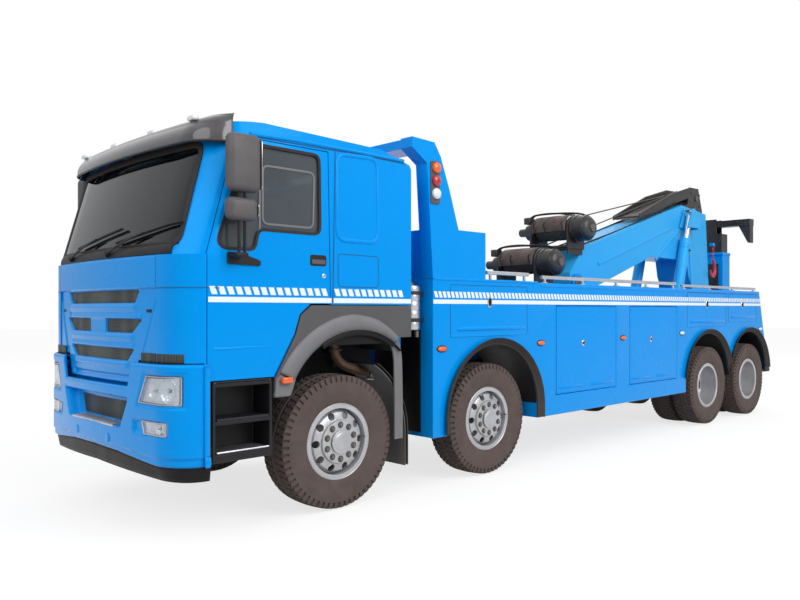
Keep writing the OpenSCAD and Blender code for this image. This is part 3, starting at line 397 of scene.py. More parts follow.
# ---------------------------------------------------------------- materials
def group(name, inputs, outputs):
    """A new shader node group with named number, colour or vector sockets."""
    tree = bpy.data.node_groups.new(name, "ShaderNodeTree")
    kinds = {"f": "NodeSocketFloat", "c": "NodeSocketColor", "v": "NodeSocketVector"}
    for label, kind, value in inputs:
        socket = tree.interface.new_socket(label, in_out="INPUT", socket_type=kinds[kind])
        socket.default_value = value
    for label, kind in outputs:
        tree.interface.new_socket(label, in_out="OUTPUT", socket_type=kinds[kind])
    return tree, tree.nodes.new("NodeGroupInput"), tree.nodes.new("NodeGroupOutput")


def node(tree, kind, links=(), **values):
    """A node with its properties and constant sockets set, and its inputs linked."""
    made = tree.nodes.new(kind)
    for key, value in values.items():
        setattr(made, key, value)
    for socket, source in dict(links).items():
        if isinstance(source, bpy.types.NodeSocket):
            tree.links.new(source, made.inputs[socket])
        else:
            made.inputs[socket].default_value = source
    return made


def shared_groups():
    """Blotches, dust that gathers low down and grain, made once."""
    made = {}
    tree, into, out = group("blotches", [("Vector", "v", (0, 0, 0)), ("Scale", "f", 3.0), ("Contrast", "f", 0.3)],
                            [("Mask", "f")])
    big = node(tree, "ShaderNodeTexNoise", {"Vector": into.outputs["Vector"], "Scale": into.outputs["Scale"],
                                            "Detail": 4.0, "Roughness": 0.6})
    low = node(tree, "ShaderNodeMath", {0: 0.5, 1: into.outputs["Contrast"]}, operation="SUBTRACT")
    high = node(tree, "ShaderNodeMath", {0: 0.5, 1: into.outputs["Contrast"]}, operation="ADD")
    span = node(tree, "ShaderNodeMapRange", {"Value": big.outputs["Fac"], "From Min": low.outputs[0],
                                             "From Max": high.outputs[0]})
    tree.links.new(span.outputs["Result"], out.inputs["Mask"])
    made["blotches"] = tree
    tree, into, out = group("low_dust", [("Vector", "v", (0, 0, 0)), ("Top", "f", 0.8), ("Amount", "f", 0.5)],
                            [("Mask", "f")])
    parts = node(tree, "ShaderNodeSeparateXYZ", {0: into.outputs["Vector"]})
    height = node(tree, "ShaderNodeMapRange", {"Value": parts.outputs["Z"], "From Min": into.outputs["Top"],
                                               "From Max": 0.1})
    cloud = node(tree, "ShaderNodeTexNoise", {"Vector": into.outputs["Vector"], "Scale": 5.0, "Detail": 6.0,
                                              "Roughness": 0.7})
    some = node(tree, "ShaderNodeMath", {0: height.outputs["Result"], 1: cloud.outputs["Fac"]}, operation="MULTIPLY")
    much = node(tree, "ShaderNodeMath", {0: some.outputs[0], 1: into.outputs["Amount"]}, operation="MULTIPLY",
                use_clamp=True)
    tree.links.new(much.outputs[0], out.inputs["Mask"])
    made["low_dust"] = tree
    tree, into, out = group("grain", [("Vector", "v", (0, 0, 0)), ("Scale", "f", 300.0)], [("Height", "f")])
    fine = node(tree, "ShaderNodeTexNoise", {"Vector": into.outputs["Vector"], "Scale": into.outputs["Scale"],
                                             "Detail": 3.0, "Roughness": 0.65})
    tree.links.new(fine.outputs["Fac"], out.inputs["Height"])
    made["grain"] = tree
    return made


GROUPS = {}
MATERIALS = {}


def material(name, colour, second=None, spread=0.3, blotch=3.0, rough=(0.35, 0.5), metal=0.0, grain=(300.0, 0.05),
             dust=None, coat=0.0, coat_rough=0.05, specular=0.5, transmission=0.0, ior=1.45, tint=(1, 1, 1)):
    """A principled finish: two near colours in blotches, dust low down, grain in the bump, and roughness that follows the blotches."""
    if name in MATERIALS:
        return MATERIALS[name]
    if not GROUPS:
        GROUPS.update(shared_groups())
    mat = bpy.data.materials.new(name)
    mat.use_nodes = True
    tree = mat.node_tree
    shader = tree.nodes["Principled BSDF"]
    where = tree.nodes.new("ShaderNodeTexCoord").outputs["Object"]
    second = second or tuple(c * 0.8 for c in colour)
    blot = node(tree, "ShaderNodeGroup", node_tree=GROUPS["blotches"])
    tree.links.new(where, blot.inputs["Vector"])
    blot.inputs["Scale"].default_value, blot.inputs["Contrast"].default_value = blotch, spread
    mix = node(tree, "ShaderNodeMix", data_type="RGBA")
    tree.links.new(blot.outputs["Mask"], mix.inputs["Factor"])
    mix.inputs["A"].default_value, mix.inputs["B"].default_value = (*colour, 1), (*second, 1)
    result = mix.outputs["Result"]
    if dust:
        film = node(tree, "ShaderNodeGroup", node_tree=GROUPS["low_dust"])
        tree.links.new(where, film.inputs["Vector"])
        film.inputs["Top"].default_value, film.inputs["Amount"].default_value = dust[1], dust[2]
        over = node(tree, "ShaderNodeMix", data_type="RGBA")
        tree.links.new(film.outputs["Mask"], over.inputs["Factor"])
        tree.links.new(result, over.inputs["A"])
        over.inputs["B"].default_value = (*dust[0], 1)
        result = over.outputs["Result"]
    tree.links.new(result, shader.inputs["Base Color"])
    span = node(tree, "ShaderNodeMapRange", {"Value": blot.outputs["Mask"], "To Min": rough[0], "To Max": rough[1]})
    tree.links.new(span.outputs["Result"], shader.inputs["Roughness"])
    if grain:
        fine = node(tree, "ShaderNodeGroup", node_tree=GROUPS["grain"])
        tree.links.new(where, fine.inputs["Vector"])
        fine.inputs["Scale"].default_value = grain[0]
        bump = node(tree, "ShaderNodeBump", {"Strength": grain[1], "Distance": 0.002})
        tree.links.new(fine.outputs["Height"], bump.inputs["Height"])
        tree.links.new(bump.outputs["Normal"], shader.inputs["Normal"])
    for socket, value in (("Metallic", metal), ("Coat Weight", coat), ("Coat Roughness", coat_rough),
                          ("Specular IOR Level", specular), ("Transmission Weight", transmission), ("IOR", ior)):
        shader.inputs[socket].default_value = value
    shader.inputs["Specular Tint"].default_value = (*tint, 1)
    MATERIALS[name] = mat
    return mat


DUST = srgb(120, 108, 95)


def settings():
    return bpy.context.scene.tow_truck


def paint():
    blue = tuple(settings().paint)
    return material("blue_paint", blue, tuple(c * 0.94 for c in blue), 0.35, 1.1, (0.22, 0.32), grain=(14.0, 0.01),
                    dust=(srgb(90, 140, 180), 0.7, 0.25), coat=0.08, coat_rough=0.06, specular=0.4, tint=(0.05, 0.6, 1))


def boom_paint_with_painted_sky_reflection():
    """The blue of the boom and its cylinders, lightened towards cyan as a painted reflection of the sky."""
    # painted reflection: the body blue is dimmed and lifted towards cyan to stand in for the sky seen in the boom's
    # paint
    blue = tuple(c * 0.72 + w for c, w in zip(settings().paint, (0.03, 0.20, 0.24)))
    return material("boom_blue_painted_sky_reflection", blue, tuple(c * 0.92 for c in blue), 0.35, 1.4, (0.25, 0.38), grain=(14.0, 0.01),
                    coat=0.08, coat_rough=0.08, specular=0.4, tint=(0.2, 0.7, 1))


def plastic():
    grey = tuple(settings().trim)
    return material("grey_plastic", grey, tuple(c * 1.25 for c in grey), 0.3, 6, (0.5, 0.65), grain=(420.0, 0.25),
                    dust=(DUST, 1.2, 0.5))


def light_plastic():
    grey = tuple(c * 2.6 for c in settings().trim)
    return material("light_grey_plastic", grey, tuple(c * 0.8 for c in grey), 0.3, 5, (0.45, 0.6), grain=(420.0, 0.2),
                    dust=(DUST, 1.2, 0.5))


def black_plastic():
    return material("black_plastic", srgb(20, 20, 24), srgb(29, 28, 31), 0.3, 7, (0.4, 0.55), grain=(500.0, 0.2),
                    dust=(DUST, 0.8, 0.08), specular=0.35)


def black_valance_and_painted_shade():
    # near-black valance finish, also used for a plate that is painted shade on the locker body's front face
    return material("black_valance_and_painted_shade", srgb(9, 9, 14), srgb(18, 16, 18), 0.3, 6, (0.4, 0.55), grain=(500.0, 0.2), specular=0.25)


def rubber():
    dark = tuple(settings().rubber)
    return material("tyre_rubber", dark, tuple(c * 0.75 for c in dark), 0.25, 9, (0.75, 0.9), grain=(260.0, 0.35),
                    specular=0.25)


def trim_rubber():
    return material("black_rubber", srgb(38, 35, 34), srgb(58, 52, 50), 0.3, 8, (0.6, 0.8), grain=(300.0, 0.2),
                    dust=(DUST, 1.3, 0.5), specular=0.3)


def silver():
    return material("silver_paint", srgb(196, 198, 202), srgb(172, 172, 174), 0.3, 7, (0.3, 0.42), metal=0.55,
                    grain=(500.0, 0.06), dust=(DUST, 0.7, 0.45))


def chrome():
    return material("chrome", srgb(225, 227, 230), srgb(205, 207, 210), 0.3, 9, (0.08, 0.16), metal=1.0, grain=(60.0, 0.01))


def bright_tube():
    return material("bright_steel", srgb(205, 206, 208), srgb(180, 181, 184), 0.3, 9, (0.25, 0.4), metal=0.85,
                    grain=(300.0, 0.05))


def steel():
    return material("bare_steel", srgb(128, 124, 120), srgb(98, 94, 90), 0.25, 10, (0.35, 0.55), metal=0.8,
                    grain=(200.0, 0.15))


def chassis_black():
    return material("chassis_black", srgb(36, 36, 38), srgb(52, 48, 45), 0.25, 5, (0.45, 0.65), grain=(160.0, 0.15),
                    dust=(DUST, 1.1, 0.7))


def winch_black():
    return material("winch_black", srgb(33, 32, 35), srgb(52, 49, 48), 0.25, 7, (0.28, 0.5), grain=(180.0, 0.15),
                    coat=0.2, coat_rough=0.2)


def glass():
    return material("dark_glass", srgb(24, 34, 37), srgb(18, 28, 31), 0.3, 2, (0.03, 0.05), grain=None,
                    transmission=0.72, specular=0.4)


def side_glass_painted_reflection():
    # painted reflection: the pane's grey base colour stands in for the sky it reflects
    return material("glass_painted_sky_grey", srgb(98, 106, 112), srgb(84, 92, 98), 0.3, 2, (0.04, 0.07), grain=None,
                    transmission=0.45, specular=0.6)


def clear_lens():
    return material("clear_lens", srgb(235, 240, 244), srgb(225, 230, 236), 0.3, 6, (0.02, 0.05), grain=None,
                    transmission=0.92)


def amber():
    return material("amber_lens", srgb(240, 105, 25), srgb(225, 85, 20), 0.3, 60, (0.12, 0.2), grain=(120.0, 0.1),
                    coat=0.8)


def red_lens():
    return material("red_lens", srgb(190, 20, 30), srgb(160, 15, 25), 0.3, 60, (0.12, 0.2), grain=(120.0, 0.1), coat=0.8)


def white_lens():
    return material("white_lens", srgb(236, 238, 240), srgb(215, 218, 222), 0.3, 60, (0.12, 0.2), grain=(120.0, 0.1),
                    coat=0.8)


def stripe_white():
    return material("reflective_white", srgb(240, 246, 248), srgb(222, 232, 236), 0.3, 12, (0.3, 0.42),
                    grain=(700.0, 0.08), coat=0.3)


def seam_blue():
    deep = tuple(c * 0.28 for c in settings().paint)
    return material("seam_shade", deep, tuple(c * 0.8 for c in deep), 0.3, 5, (0.6, 0.75), grain=(100.0, 0.05))


def smoked():
    return material("smoked_visor", srgb(54, 52, 56), srgb(74, 71, 75), 0.22, 14, (0.12, 0.24), grain=(70.0, 0.02), coat=0.7)


def mirror_shell():
    return material("mirror_shell", srgb(92, 88, 90), srgb(76, 73, 75), 0.3, 8, (0.45, 0.6), grain=(420.0, 0.3))


def fabric():
    return material("seat_fabric", srgb(70, 72, 78), srgb(54, 56, 60), 0.2, 90, (0.85, 0.95), grain=(900.0, 0.5),
                    specular=0.2)


def dash_plastic():
    return material("dash_plastic", srgb(62, 62, 66), srgb(50, 50, 54), 0.3, 8, (0.5, 0.65), grain=(600.0, 0.3))


def exhaust_steel():
    return material("exhaust_steel", srgb(108, 84, 66), srgb(78, 62, 52), 0.22, 9, (0.5, 0.7), metal=0.5,
                    grain=(160.0, 0.3))


def tread_plate():
    """Dark deck plate with raised bars in a turned check."""
    mat = material("deck_plate", srgb(74, 76, 80), srgb(96, 96, 98), 0.25, 6, (0.4, 0.55), metal=0.6, grain=None)
    if "check" not in mat.node_tree.nodes:
        tree = mat.node_tree
        where = tree.nodes.new("ShaderNodeTexCoord").outputs["Object"]
        turn = node(tree, "ShaderNodeMapping", {"Vector": where, "Rotation": (0, 0, math.radians(45)),
                                                "Scale": (28, 28, 28)})
        bars = node(tree, "ShaderNodeTexMagic", {"Vector": turn.outputs[0], "Scale": 1.0, "Distortion": 1.0},
                    turbulence_depth=1)
        bars.name = "check"
        bump = node(tree, "ShaderNodeBump", {"Strength": 0.6, "Distance": 0.003, "Height": bars.outputs["Fac"]})
        tree.links.new(bump.outputs["Normal"], tree.nodes["Principled BSDF"].inputs["Normal"])
    return mat


def mesh_metal():
    """Black woven grille: a regular Voronoi grid presses small square cells into the bump and the colour."""
    mat = material("grille_mesh", srgb(30, 34, 32), srgb(20, 22, 22), 0.3, 8, (0.45, 0.6), metal=0.4, grain=None)
    if "cells" not in mat.node_tree.nodes:
        tree = mat.node_tree
        where = tree.nodes.new("ShaderNodeTexCoord").outputs["Object"]
        cells = node(tree, "ShaderNodeTexVoronoi", {"Vector": where, "Scale": 95.0, "Randomness": 0.0})
        cells.name = "cells"
        bump = node(tree, "ShaderNodeBump", {"Strength": 0.9, "Distance": 0.006, "Height": cells.outputs["Distance"]})
        tree.links.new(bump.outputs["Normal"], tree.nodes["Principled BSDF"].inputs["Normal"])
        tone = node(tree, "ShaderNodeMapRange", {"Value": cells.outputs["Distance"], "From Min": 0.2, "From Max": 0.6})
        mix = node(tree, "ShaderNodeMix", data_type="RGBA")
        tree.links.new(tone.outputs["Result"], mix.inputs["Factor"])
        mix.inputs["A"].default_value, mix.inputs["B"].default_value = (*srgb(10, 12, 12), 1), (*srgb(72, 78, 74), 1)
        tree.links.new(mix.outputs["Result"], tree.nodes["Principled BSDF"].inputs["Base Color"])
    return mat


# ---------------------------------------------------------------- stage
class SCENE_OT_tow_stage(bpy.types.Operator):
    """Make the pale floor, the soft lights, the white surround and the camera."""

    bl_idname = "scene.tow_stage"
    bl_label = "Stage"

    def execute(self, context):
        scene = context.scene
        scene.view_settings.view_transform = "Standard"
        r = np.array([0, 10, 60.0])
        a = np.arange(48) * 2 * math.pi / 48
        points = np.stack([r[:, None] * np.cos(a), r[:, None] * np.sin(a), np.zeros((3, 48))], -1)
        v, f = grid(points, wrap_v=True)
        mesh = bpy.data.meshes.new("floor")
        mesh.from_pydata((v + [0, 0, -0.002]).tolist(), [], f)
        floor = bpy.data.objects.new("floor", mesh)
        scene.collection.objects.link(floor)
        mesh.materials.append(self.floor_material())
        self.surround(scene)
        for name, place, size, power, target in (
                ("side_light", (-1.0, -13.0, 9.0), 11.0, settings().key_power, (0.5, 0, 1.4)),
                ("front_light", (-14.0, -3.0, 8.0), 9.0, settings().key_power * 0.30, (-3.0, 0, 1.4)),
                ("back_light", (9.0, 12.0, 10.0), 10.0, settings().key_power * 0.35, (0, 0, 1.4))):
            lamp = bpy.data.lights.new(name, "AREA")
            lamp.energy, lamp.size, lamp.shape = power, size, "DISK"
            obj = bpy.data.objects.new(name, lamp)
            direction = np.array(target) - np.array(place)
            yaw = math.atan2(-direction[0], direction[1])
            tilt = math.atan2(math.hypot(direction[0], direction[1]), -direction[2])
            obj.location, obj.rotation_euler = place, (tilt, 0, yaw)
            scene.collection.objects.link(obj)
        view = bpy.data.cameras.new("camera")
        view.sensor_width, view.lens = 36.0, 34.09
        view.shift_x, view.shift_y = -0.0773, 0.0112
        view.clip_end = 200
        camera = bpy.data.objects.new("camera", view)
        camera.location = (-7.571, -6.094, 1.614)
        camera.rotation_euler = (math.radians(90), 0, math.radians(-46.23))
        scene.collection.objects.link(camera)
        scene.camera = camera
        return {"FINISHED"}

    @staticmethod
    def floor_material():
        mat = bpy.data.materials.new("pale_floor")
        mat.use_nodes = True
        tree = mat.node_tree
        shader = tree.nodes["Principled BSDF"]
        shader.inputs["Roughness"].default_value = 0.9
        shader.inputs["Specular IOR Level"].default_value = 0.0
        path = tree.nodes.new("ShaderNodeLightPath")
        seen = node(tree, "ShaderNodeMath", {0: path.outputs["Is Camera Ray"], 1: path.outputs["Is Glossy Ray"]},
                    operation="MAXIMUM")
        mix = node(tree, "ShaderNodeMix", data_type="RGBA")
        tree.links.new(seen.outputs[0], mix.inputs["Factor"])
        mix.inputs["A"].default_value, mix.inputs["B"].default_value = (0.42, 0.42, 0.42, 1), (1, 1, 1, 1)
        tree.links.new(mix.outputs["Result"], shader.inputs["Base Color"])
        lit = node(tree, "ShaderNodeEmission", {"Color": (1, 1, 1, 1), "Strength": 1.0})
        blend = node(tree, "ShaderNodeMixShader")
        amount = node(tree, "ShaderNodeMath", {0: seen.outputs[0], 1: 0.74}, operation="MULTIPLY")
        tree.links.new(amount.outputs[0], blend.inputs[0])
        tree.links.new(shader.outputs[0], blend.inputs[1])
        tree.links.new(lit.outputs[0], blend.inputs[2])
        tree.links.new(blend.outputs[0], tree.nodes["Material Output"].inputs["Surface"])
        return mat

    @staticmethod
    def surround(scene):
        world = bpy.data.worlds.new("surround")
        scene.world = world
        world.use_nodes = True
        tree = world.node_tree
        back = tree.nodes["Background"]
        path = tree.nodes.new("ShaderNodeLightPath")
        seen = node(tree, "ShaderNodeMath", {0: path.outputs["Is Camera Ray"], 1: path.outputs["Is Transmission Ray"]},
                    operation="MAXIMUM")
        strength = node(tree, "ShaderNodeMapRange", {"Value": seen.outputs[0], "To Min": settings().sky_level,
                                                     "To Max": 1.0})
        where = tree.nodes.new("ShaderNodeTexCoord").outputs["Generated"]
        height = node(tree, "ShaderNodeSeparateXYZ", {0: where})
        ramp = node(tree, "ShaderNodeMapRange", {"Value": height.outputs["Z"], "From Min": -0.1, "From Max": 0.6})
        tint = node(tree, "ShaderNodeMix", data_type="RGBA")
        tree.links.new(ramp.outputs["Result"], tint.inputs["Factor"])
        tint.inputs["A"].default_value, tint.inputs["B"].default_value = (0.45, 0.47, 0.5, 1), (1, 1, 1, 1)
        colour = node(tree, "ShaderNodeMix", data_type="RGBA")
        tree.links.new(seen.outputs[0], colour.inputs["Factor"])
        tree.links.new(tint.outputs["Result"], colour.inputs["A"])
        colour.inputs["B"].default_value = (1, 1, 1, 1)
        tree.links.new(colour.outputs["Result"], back.inputs["Color"])
        tree.links.new(strength.outputs["Result"], back.inputs["Strength"])


# ---------------------------------------------------------------- cab
DOOR_WINDOW = [(-1.118, 2.09), (-1.085, 2.04), (-0.83, 2.04), (-0.80, 2.19), (-0.29, 2.19), (-0.262, 2.225),
               (-0.27, 2.77), (-0.30, 2.80), (-0.893, 2.80)]


def side_loop(points, width, y, depth, r=0.03):
    """A thin band round an outline on the left side, standing out of it by the depth."""
    return outline_band(rounded_outline(points, r, 5), width, y - depth, y + 0.002)


def side_line(points, width, y, depth=0.0015):
    """A thin strip along a line on the left side."""
    path = np.insert(np.asarray(points, float), 1, y, axis=1)
    return sweep([(-width / 2, -depth), (width / 2, -depth), (width / 2, depth), (-width / 2, depth)], path, (0, 1, 0))


class OBJECT_OT_cab_panels(bpy.types.Operator):
    """Finish the cab shell and press its sleeper panels, seams, gutter and corner vents."""

    bl_idname = "object.tow_cab_panels"
    bl_label = "Cab panels"

    def execute(self, context):
        dressed("cab_shell", paint(), 0.012)
        panel = [(-0.10, 2.84), (0.31, 2.855), (0.32, 2.16), (-0.10, 2.16)]
        rim = rounded_outline(panel, 0.09, 6)
        bulge = sweep(circle(0.017, 10, 0.55), np.insert(rim, 1, -CAB_Y, axis=1), (0, 1, 0), True)
        gutter = sweep(circle(0.016, 8), np.insert(np.array([(-0.87, 2.868), (-0.5, 2.882), (0.1, 2.884), (0.6, 2.88)]), 1,
                                                   -CAB_Y + 0.002, axis=1), (0, 1, 0))
        make("cab_pressings", "truck", paint(), both(bulge, gutter))
        hatch = rounded_outline([(-0.09, 1.79), (-0.09, 2.05), (0.32, 2.045), (0.32, 1.79)], 0.03, 4)
        lines = [outline_band(hatch, 0.006, -CAB_Y - 0.0012, -CAB_Y + 0.001),
                 side_line([(-0.86, 2.852), (0.1, 2.865), (0.62, 2.86)], 0.008, -CAB_Y - 0.001),
                 side_line([(-0.142, 1.66), (-0.12, 2.855)], 0.007, -CAB_Y - 0.001)]
        s = np.linspace(front_s(0.93, CAB_FRONT), front_s(1.2475, CAB_FRONT) + 0.06, 24)
        low, high = np.full_like(s, 1.757), np.full_like(s, 1.763)
        lines.append(mirrored(grid(front_patch(np.stack([s, s]), np.stack([low, high]), CAB_FRONT, -0.0012))))
        make("cab_seams", "truck", seam_blue(), both(*lines), shell=False)
        roof = [rounded_box((-0.75, -0.32, 2.955), (-0.15, 0.32, 2.985), 0.02)]
        make("roof_hatch", "truck", paint(), *roof)
        self.vents()
        return {"FINISHED"}

    @staticmethod
    def vents():
        for name, body, y0, y1 in (("lid_vents", "front_lid", 0.735, 0.922), ("corner_vents", "truck", 0.936, 1.165)):
            s = np.linspace(front_s(y0, CAB_FRONT), front_s(y1, CAB_FRONT), 30)
            grid_s, grid_z = np.meshgrid(s, np.linspace(1.237, 1.304, 4), indexing="ij")
            patch = grid(front_patch(grid_s, grid_z, CAB_FRONT, -0.002))
            make(name, body, mesh_metal(), both(patch), shell=False, solid=0.004)


class OBJECT_OT_cab_doors(bpy.types.Operator):
    """Finish both doors with seals, handles, locks, glass frames and their stripes."""

    bl_idname = "object.tow_cab_doors"
    bl_label = "Cab doors"

    def execute(self, context):
        for name, side in SIDES:
            body = body_of(name + "_door")
            dressed(name + "_door", paint(), 0.010)
            dressed(name + "_door_glass", side_glass_painted_reflection(), 0.001, name=name + "_door_pane")
            y = -CAB_Y
            seal = side_loop(DOOR_WINDOW, 0.022, y, 0.004, 0.05)
            inner = outline_band(rounded_outline([(-0.76, 2.235), (-0.32, 2.235), (-0.31, 2.66), (-0.76, 2.66)], 0.05, 5),
                                 0.016, y + 0.0095, y + 0.0125)
            post = sweep([(-0.008, -0.004), (0.008, -0.004), (0.008, 0.004), (-0.008, 0.004)],
                         [(-0.785, y + 0.011, 2.06), (-0.785, y + 0.011, 2.79)], (0, 1, 0))
            make(name + "_door_seal", body, trim_rubber(), on_side(side, seal))
            make(name + "_door_quarter_frame", body, light_plastic(), on_side(side, inner, post))
            cup = prism(rounded_outline([(-0.355, 1.945), (-0.205, 1.945), (-0.205, 2.03), (-0.355, 2.03)], 0.02, 4),
                        y - 0.003, y + 0.003, "y", 0.001)
            make(name + "_door_handle_cup", body, black_plastic(), on_side(side, cup))
            grip = prism(rounded_outline([(-0.345, 1.958), (-0.215, 1.958), (-0.215, 1.995), (-0.345, 1.995)], 0.014, 4),
                         y - 0.011, y - 0.001, "y", 0.004)
            make(name + "_door_grip", body, mirror_shell(), on_side(side, grip))
            lock = lathe([(0, 0), (0, 0.017), (0.004, 0.017), (0.006, 0.012), (0.004, 0.01), (0.004, 0)],
                         (-0.228, y, 1.87), "y", 20, -1)
            make(name + "_door_lock", body, chrome(), on_side(side, lock))
            crease = sweep(circle(0.012, 8, 0.35), [(-1.15, y, 1.335), (-0.95, y, 1.338), (-0.66, y, 1.345)], (0, 1, 0),
                           scale=[1, 0.8, 0.2])
            make(name + "_door_crease", body, paint(), on_side(side, crease))
            make(name + "_door_stripe", body, stripe_white(), on_side(side, stripe(-1.19, -0.155, 0.0665, -CAB_Y)))
        return {"FINISHED"}


def stripe(x0, x1, pitch, y, low=1.661, band=0.038, block=(1.716, 1.772), lean=0.02):
    """A solid band with a row of leaning blocks over it: a block covers 0.66 of each pitch and its top leans forward."""
    t = 0.0012
    solid = prism([(x0, low), (x1, low), (x1, low + band), (x0, low + band)], y - t, y + 0.001)
    n = int((x1 - x0 - lean - 0.01) // pitch)
    one = prism([(lean, block[0]), (lean + 0.66 * pitch, block[0]), (0.66 * pitch, block[1]), (0, block[1])], y - t, y + 0.001)
    starts = np.zeros((n, 3))
    starts[:, 0] = x0 + 0.006 + np.arange(n) * pitch
    return joined(solid, moved(one, starts))


class OBJECT_OT_stripes(bpy.types.Operator):
    """Lay the pale stripe and its leaning blocks along the sleeper side and the bodies."""

    bl_idname = "object.tow_stripes"
    bl_label = "Side stripes"

    def execute(self, context):
        runs = [stripe(-0.135, 0.685, 0.0665, -CAB_Y), stripe(0.955, 8.12, 0.0535, -BODY_Y)]
        make("side_stripes", "truck", stripe_white(), both(*runs))
        return {"FINISHED"}


class OBJECT_OT_front_panel(bpy.types.Operator):
    """Make the hinged front panel with its three rows of slots, and the mesh behind them."""

    bl_idname = "object.tow_front_panel"
    bl_label = "Front panel"

    def execute(self, context):
        y = np.linspace(-0.924, 0.924, 200)
        low = np.interp(np.abs(y), [0, 0.614, 0.674, 0.93], [1.078, 1.078, 1.248, 1.248])
        v = np.linspace(0, 1, 92)
        grid_y = np.repeat(y[:, None], len(v), 1)
        grid_z = low[:, None] + v[None] * (1.984 - low[:, None])
        inset = self.relief(grid_y, grid_z)
        x = -CAB_FRONT + BOW * (grid_y / (CAB_Y - CORNER_R)) ** 2 + inset
        panel = grid(np.stack([x, grid_y, grid_z], -1))
        obj = make("front_lid_panel", "front_lid", paint(), panel, shell=False, angle=50, solid=0.012)
        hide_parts("front_lid")
        meshes = []
        for z0, z1, half0, half1 in ((1.655, 1.75, 0.66, 0.8), (1.435, 1.542, 0.66, 0.72), (1.232, 1.325, 0.52, 0.6)):
            yy = np.linspace(-half1, half1, 40)
            gy, gz = np.meshgrid(yy, np.linspace(z0, z1, 4), indexing="ij")
            xx = -CAB_FRONT + BOW * (gy / (CAB_Y - CORNER_R)) ** 2 + 0.028
            meshes.append(grid(np.stack([xx, gy, gz], -1)))
        make("front_lid_mesh", "front_lid", mesh_metal(), *meshes, shell=False)
        frame_bars = [rounded_box((-1.412, -0.85, z - 0.012), (-1.38, 0.85, z + 0.012), 0.004) for z in (1.2, 1.6, 1.9)]
        make("front_lid_stiffeners", "front_lid", black_plastic(), *frame_bars)
        return {"FINISHED"}

    @staticmethod
    def relief(y, z):
        """How far the panel lies behind the plain bowed face: a lower step, three rows of slots with slanting ends and a lip under each, a low recess and a raised outer wing."""
        a = np.abs(y)
        edge = np.interp(z, [1.06, 1.30, 1.73, 1.76], [0.655, 0.735, 0.94, 0.955])
        inner = 1 - smoothstep(-0.006, 0.006, a - edge)
        under = 1 - smoothstep(1.757, 1.765, z)
        d = under * (0.014 * inner + 0.008 * (1 - inner))
        d = d + under * 0.012 * np.exp(-(((a - edge) / 0.006) ** 2))
        rows = ((1.66, 1.747, 0.62, 0.68, 0.0), (1.44, 1.537, 0.57, 0.71, 0.15), (1.237, 1.32, 0.50, 0.60, 0.0))
        for z0, z1, half0, half1, start in rows:
            half = half0 + (half1 - half0) * (z - z0) / (z1 - z0)
            tall = smoothstep(z0 - 0.005, z0 + 0.005, z) * (1 - smoothstep(z1 - 0.005, z1 + 0.005, z))
            wide = 1 - smoothstep(-0.006, 0.006, a - half)
            if start:
                wide = wide * smoothstep(start - 0.006, start + 0.006, a)
            d = d + 0.034 * tall * wide * under
            lip = np.exp(-(((z - (z0 - 0.035)) / 0.022) ** 2)) * (1 - smoothstep(half0 - 0.02, half0 + 0.06, a))
            d = d - 0.013 * lip
            brow = smoothstep(z1 + 0.004, z1 + 0.012, z) * (1 - smoothstep(z1 + 0.03, z1 + 0.045, z))
            d = d - 0.007 * brow * (1 - smoothstep(half1 - 0.01, half1 + 0.03, a)) * under
        low = smoothstep(1.092, 1.10, z) * (1 - smoothstep(1.122, 1.135, z)) * (1 - smoothstep(0.54, 0.58, a))
        return d + 0.014 * low


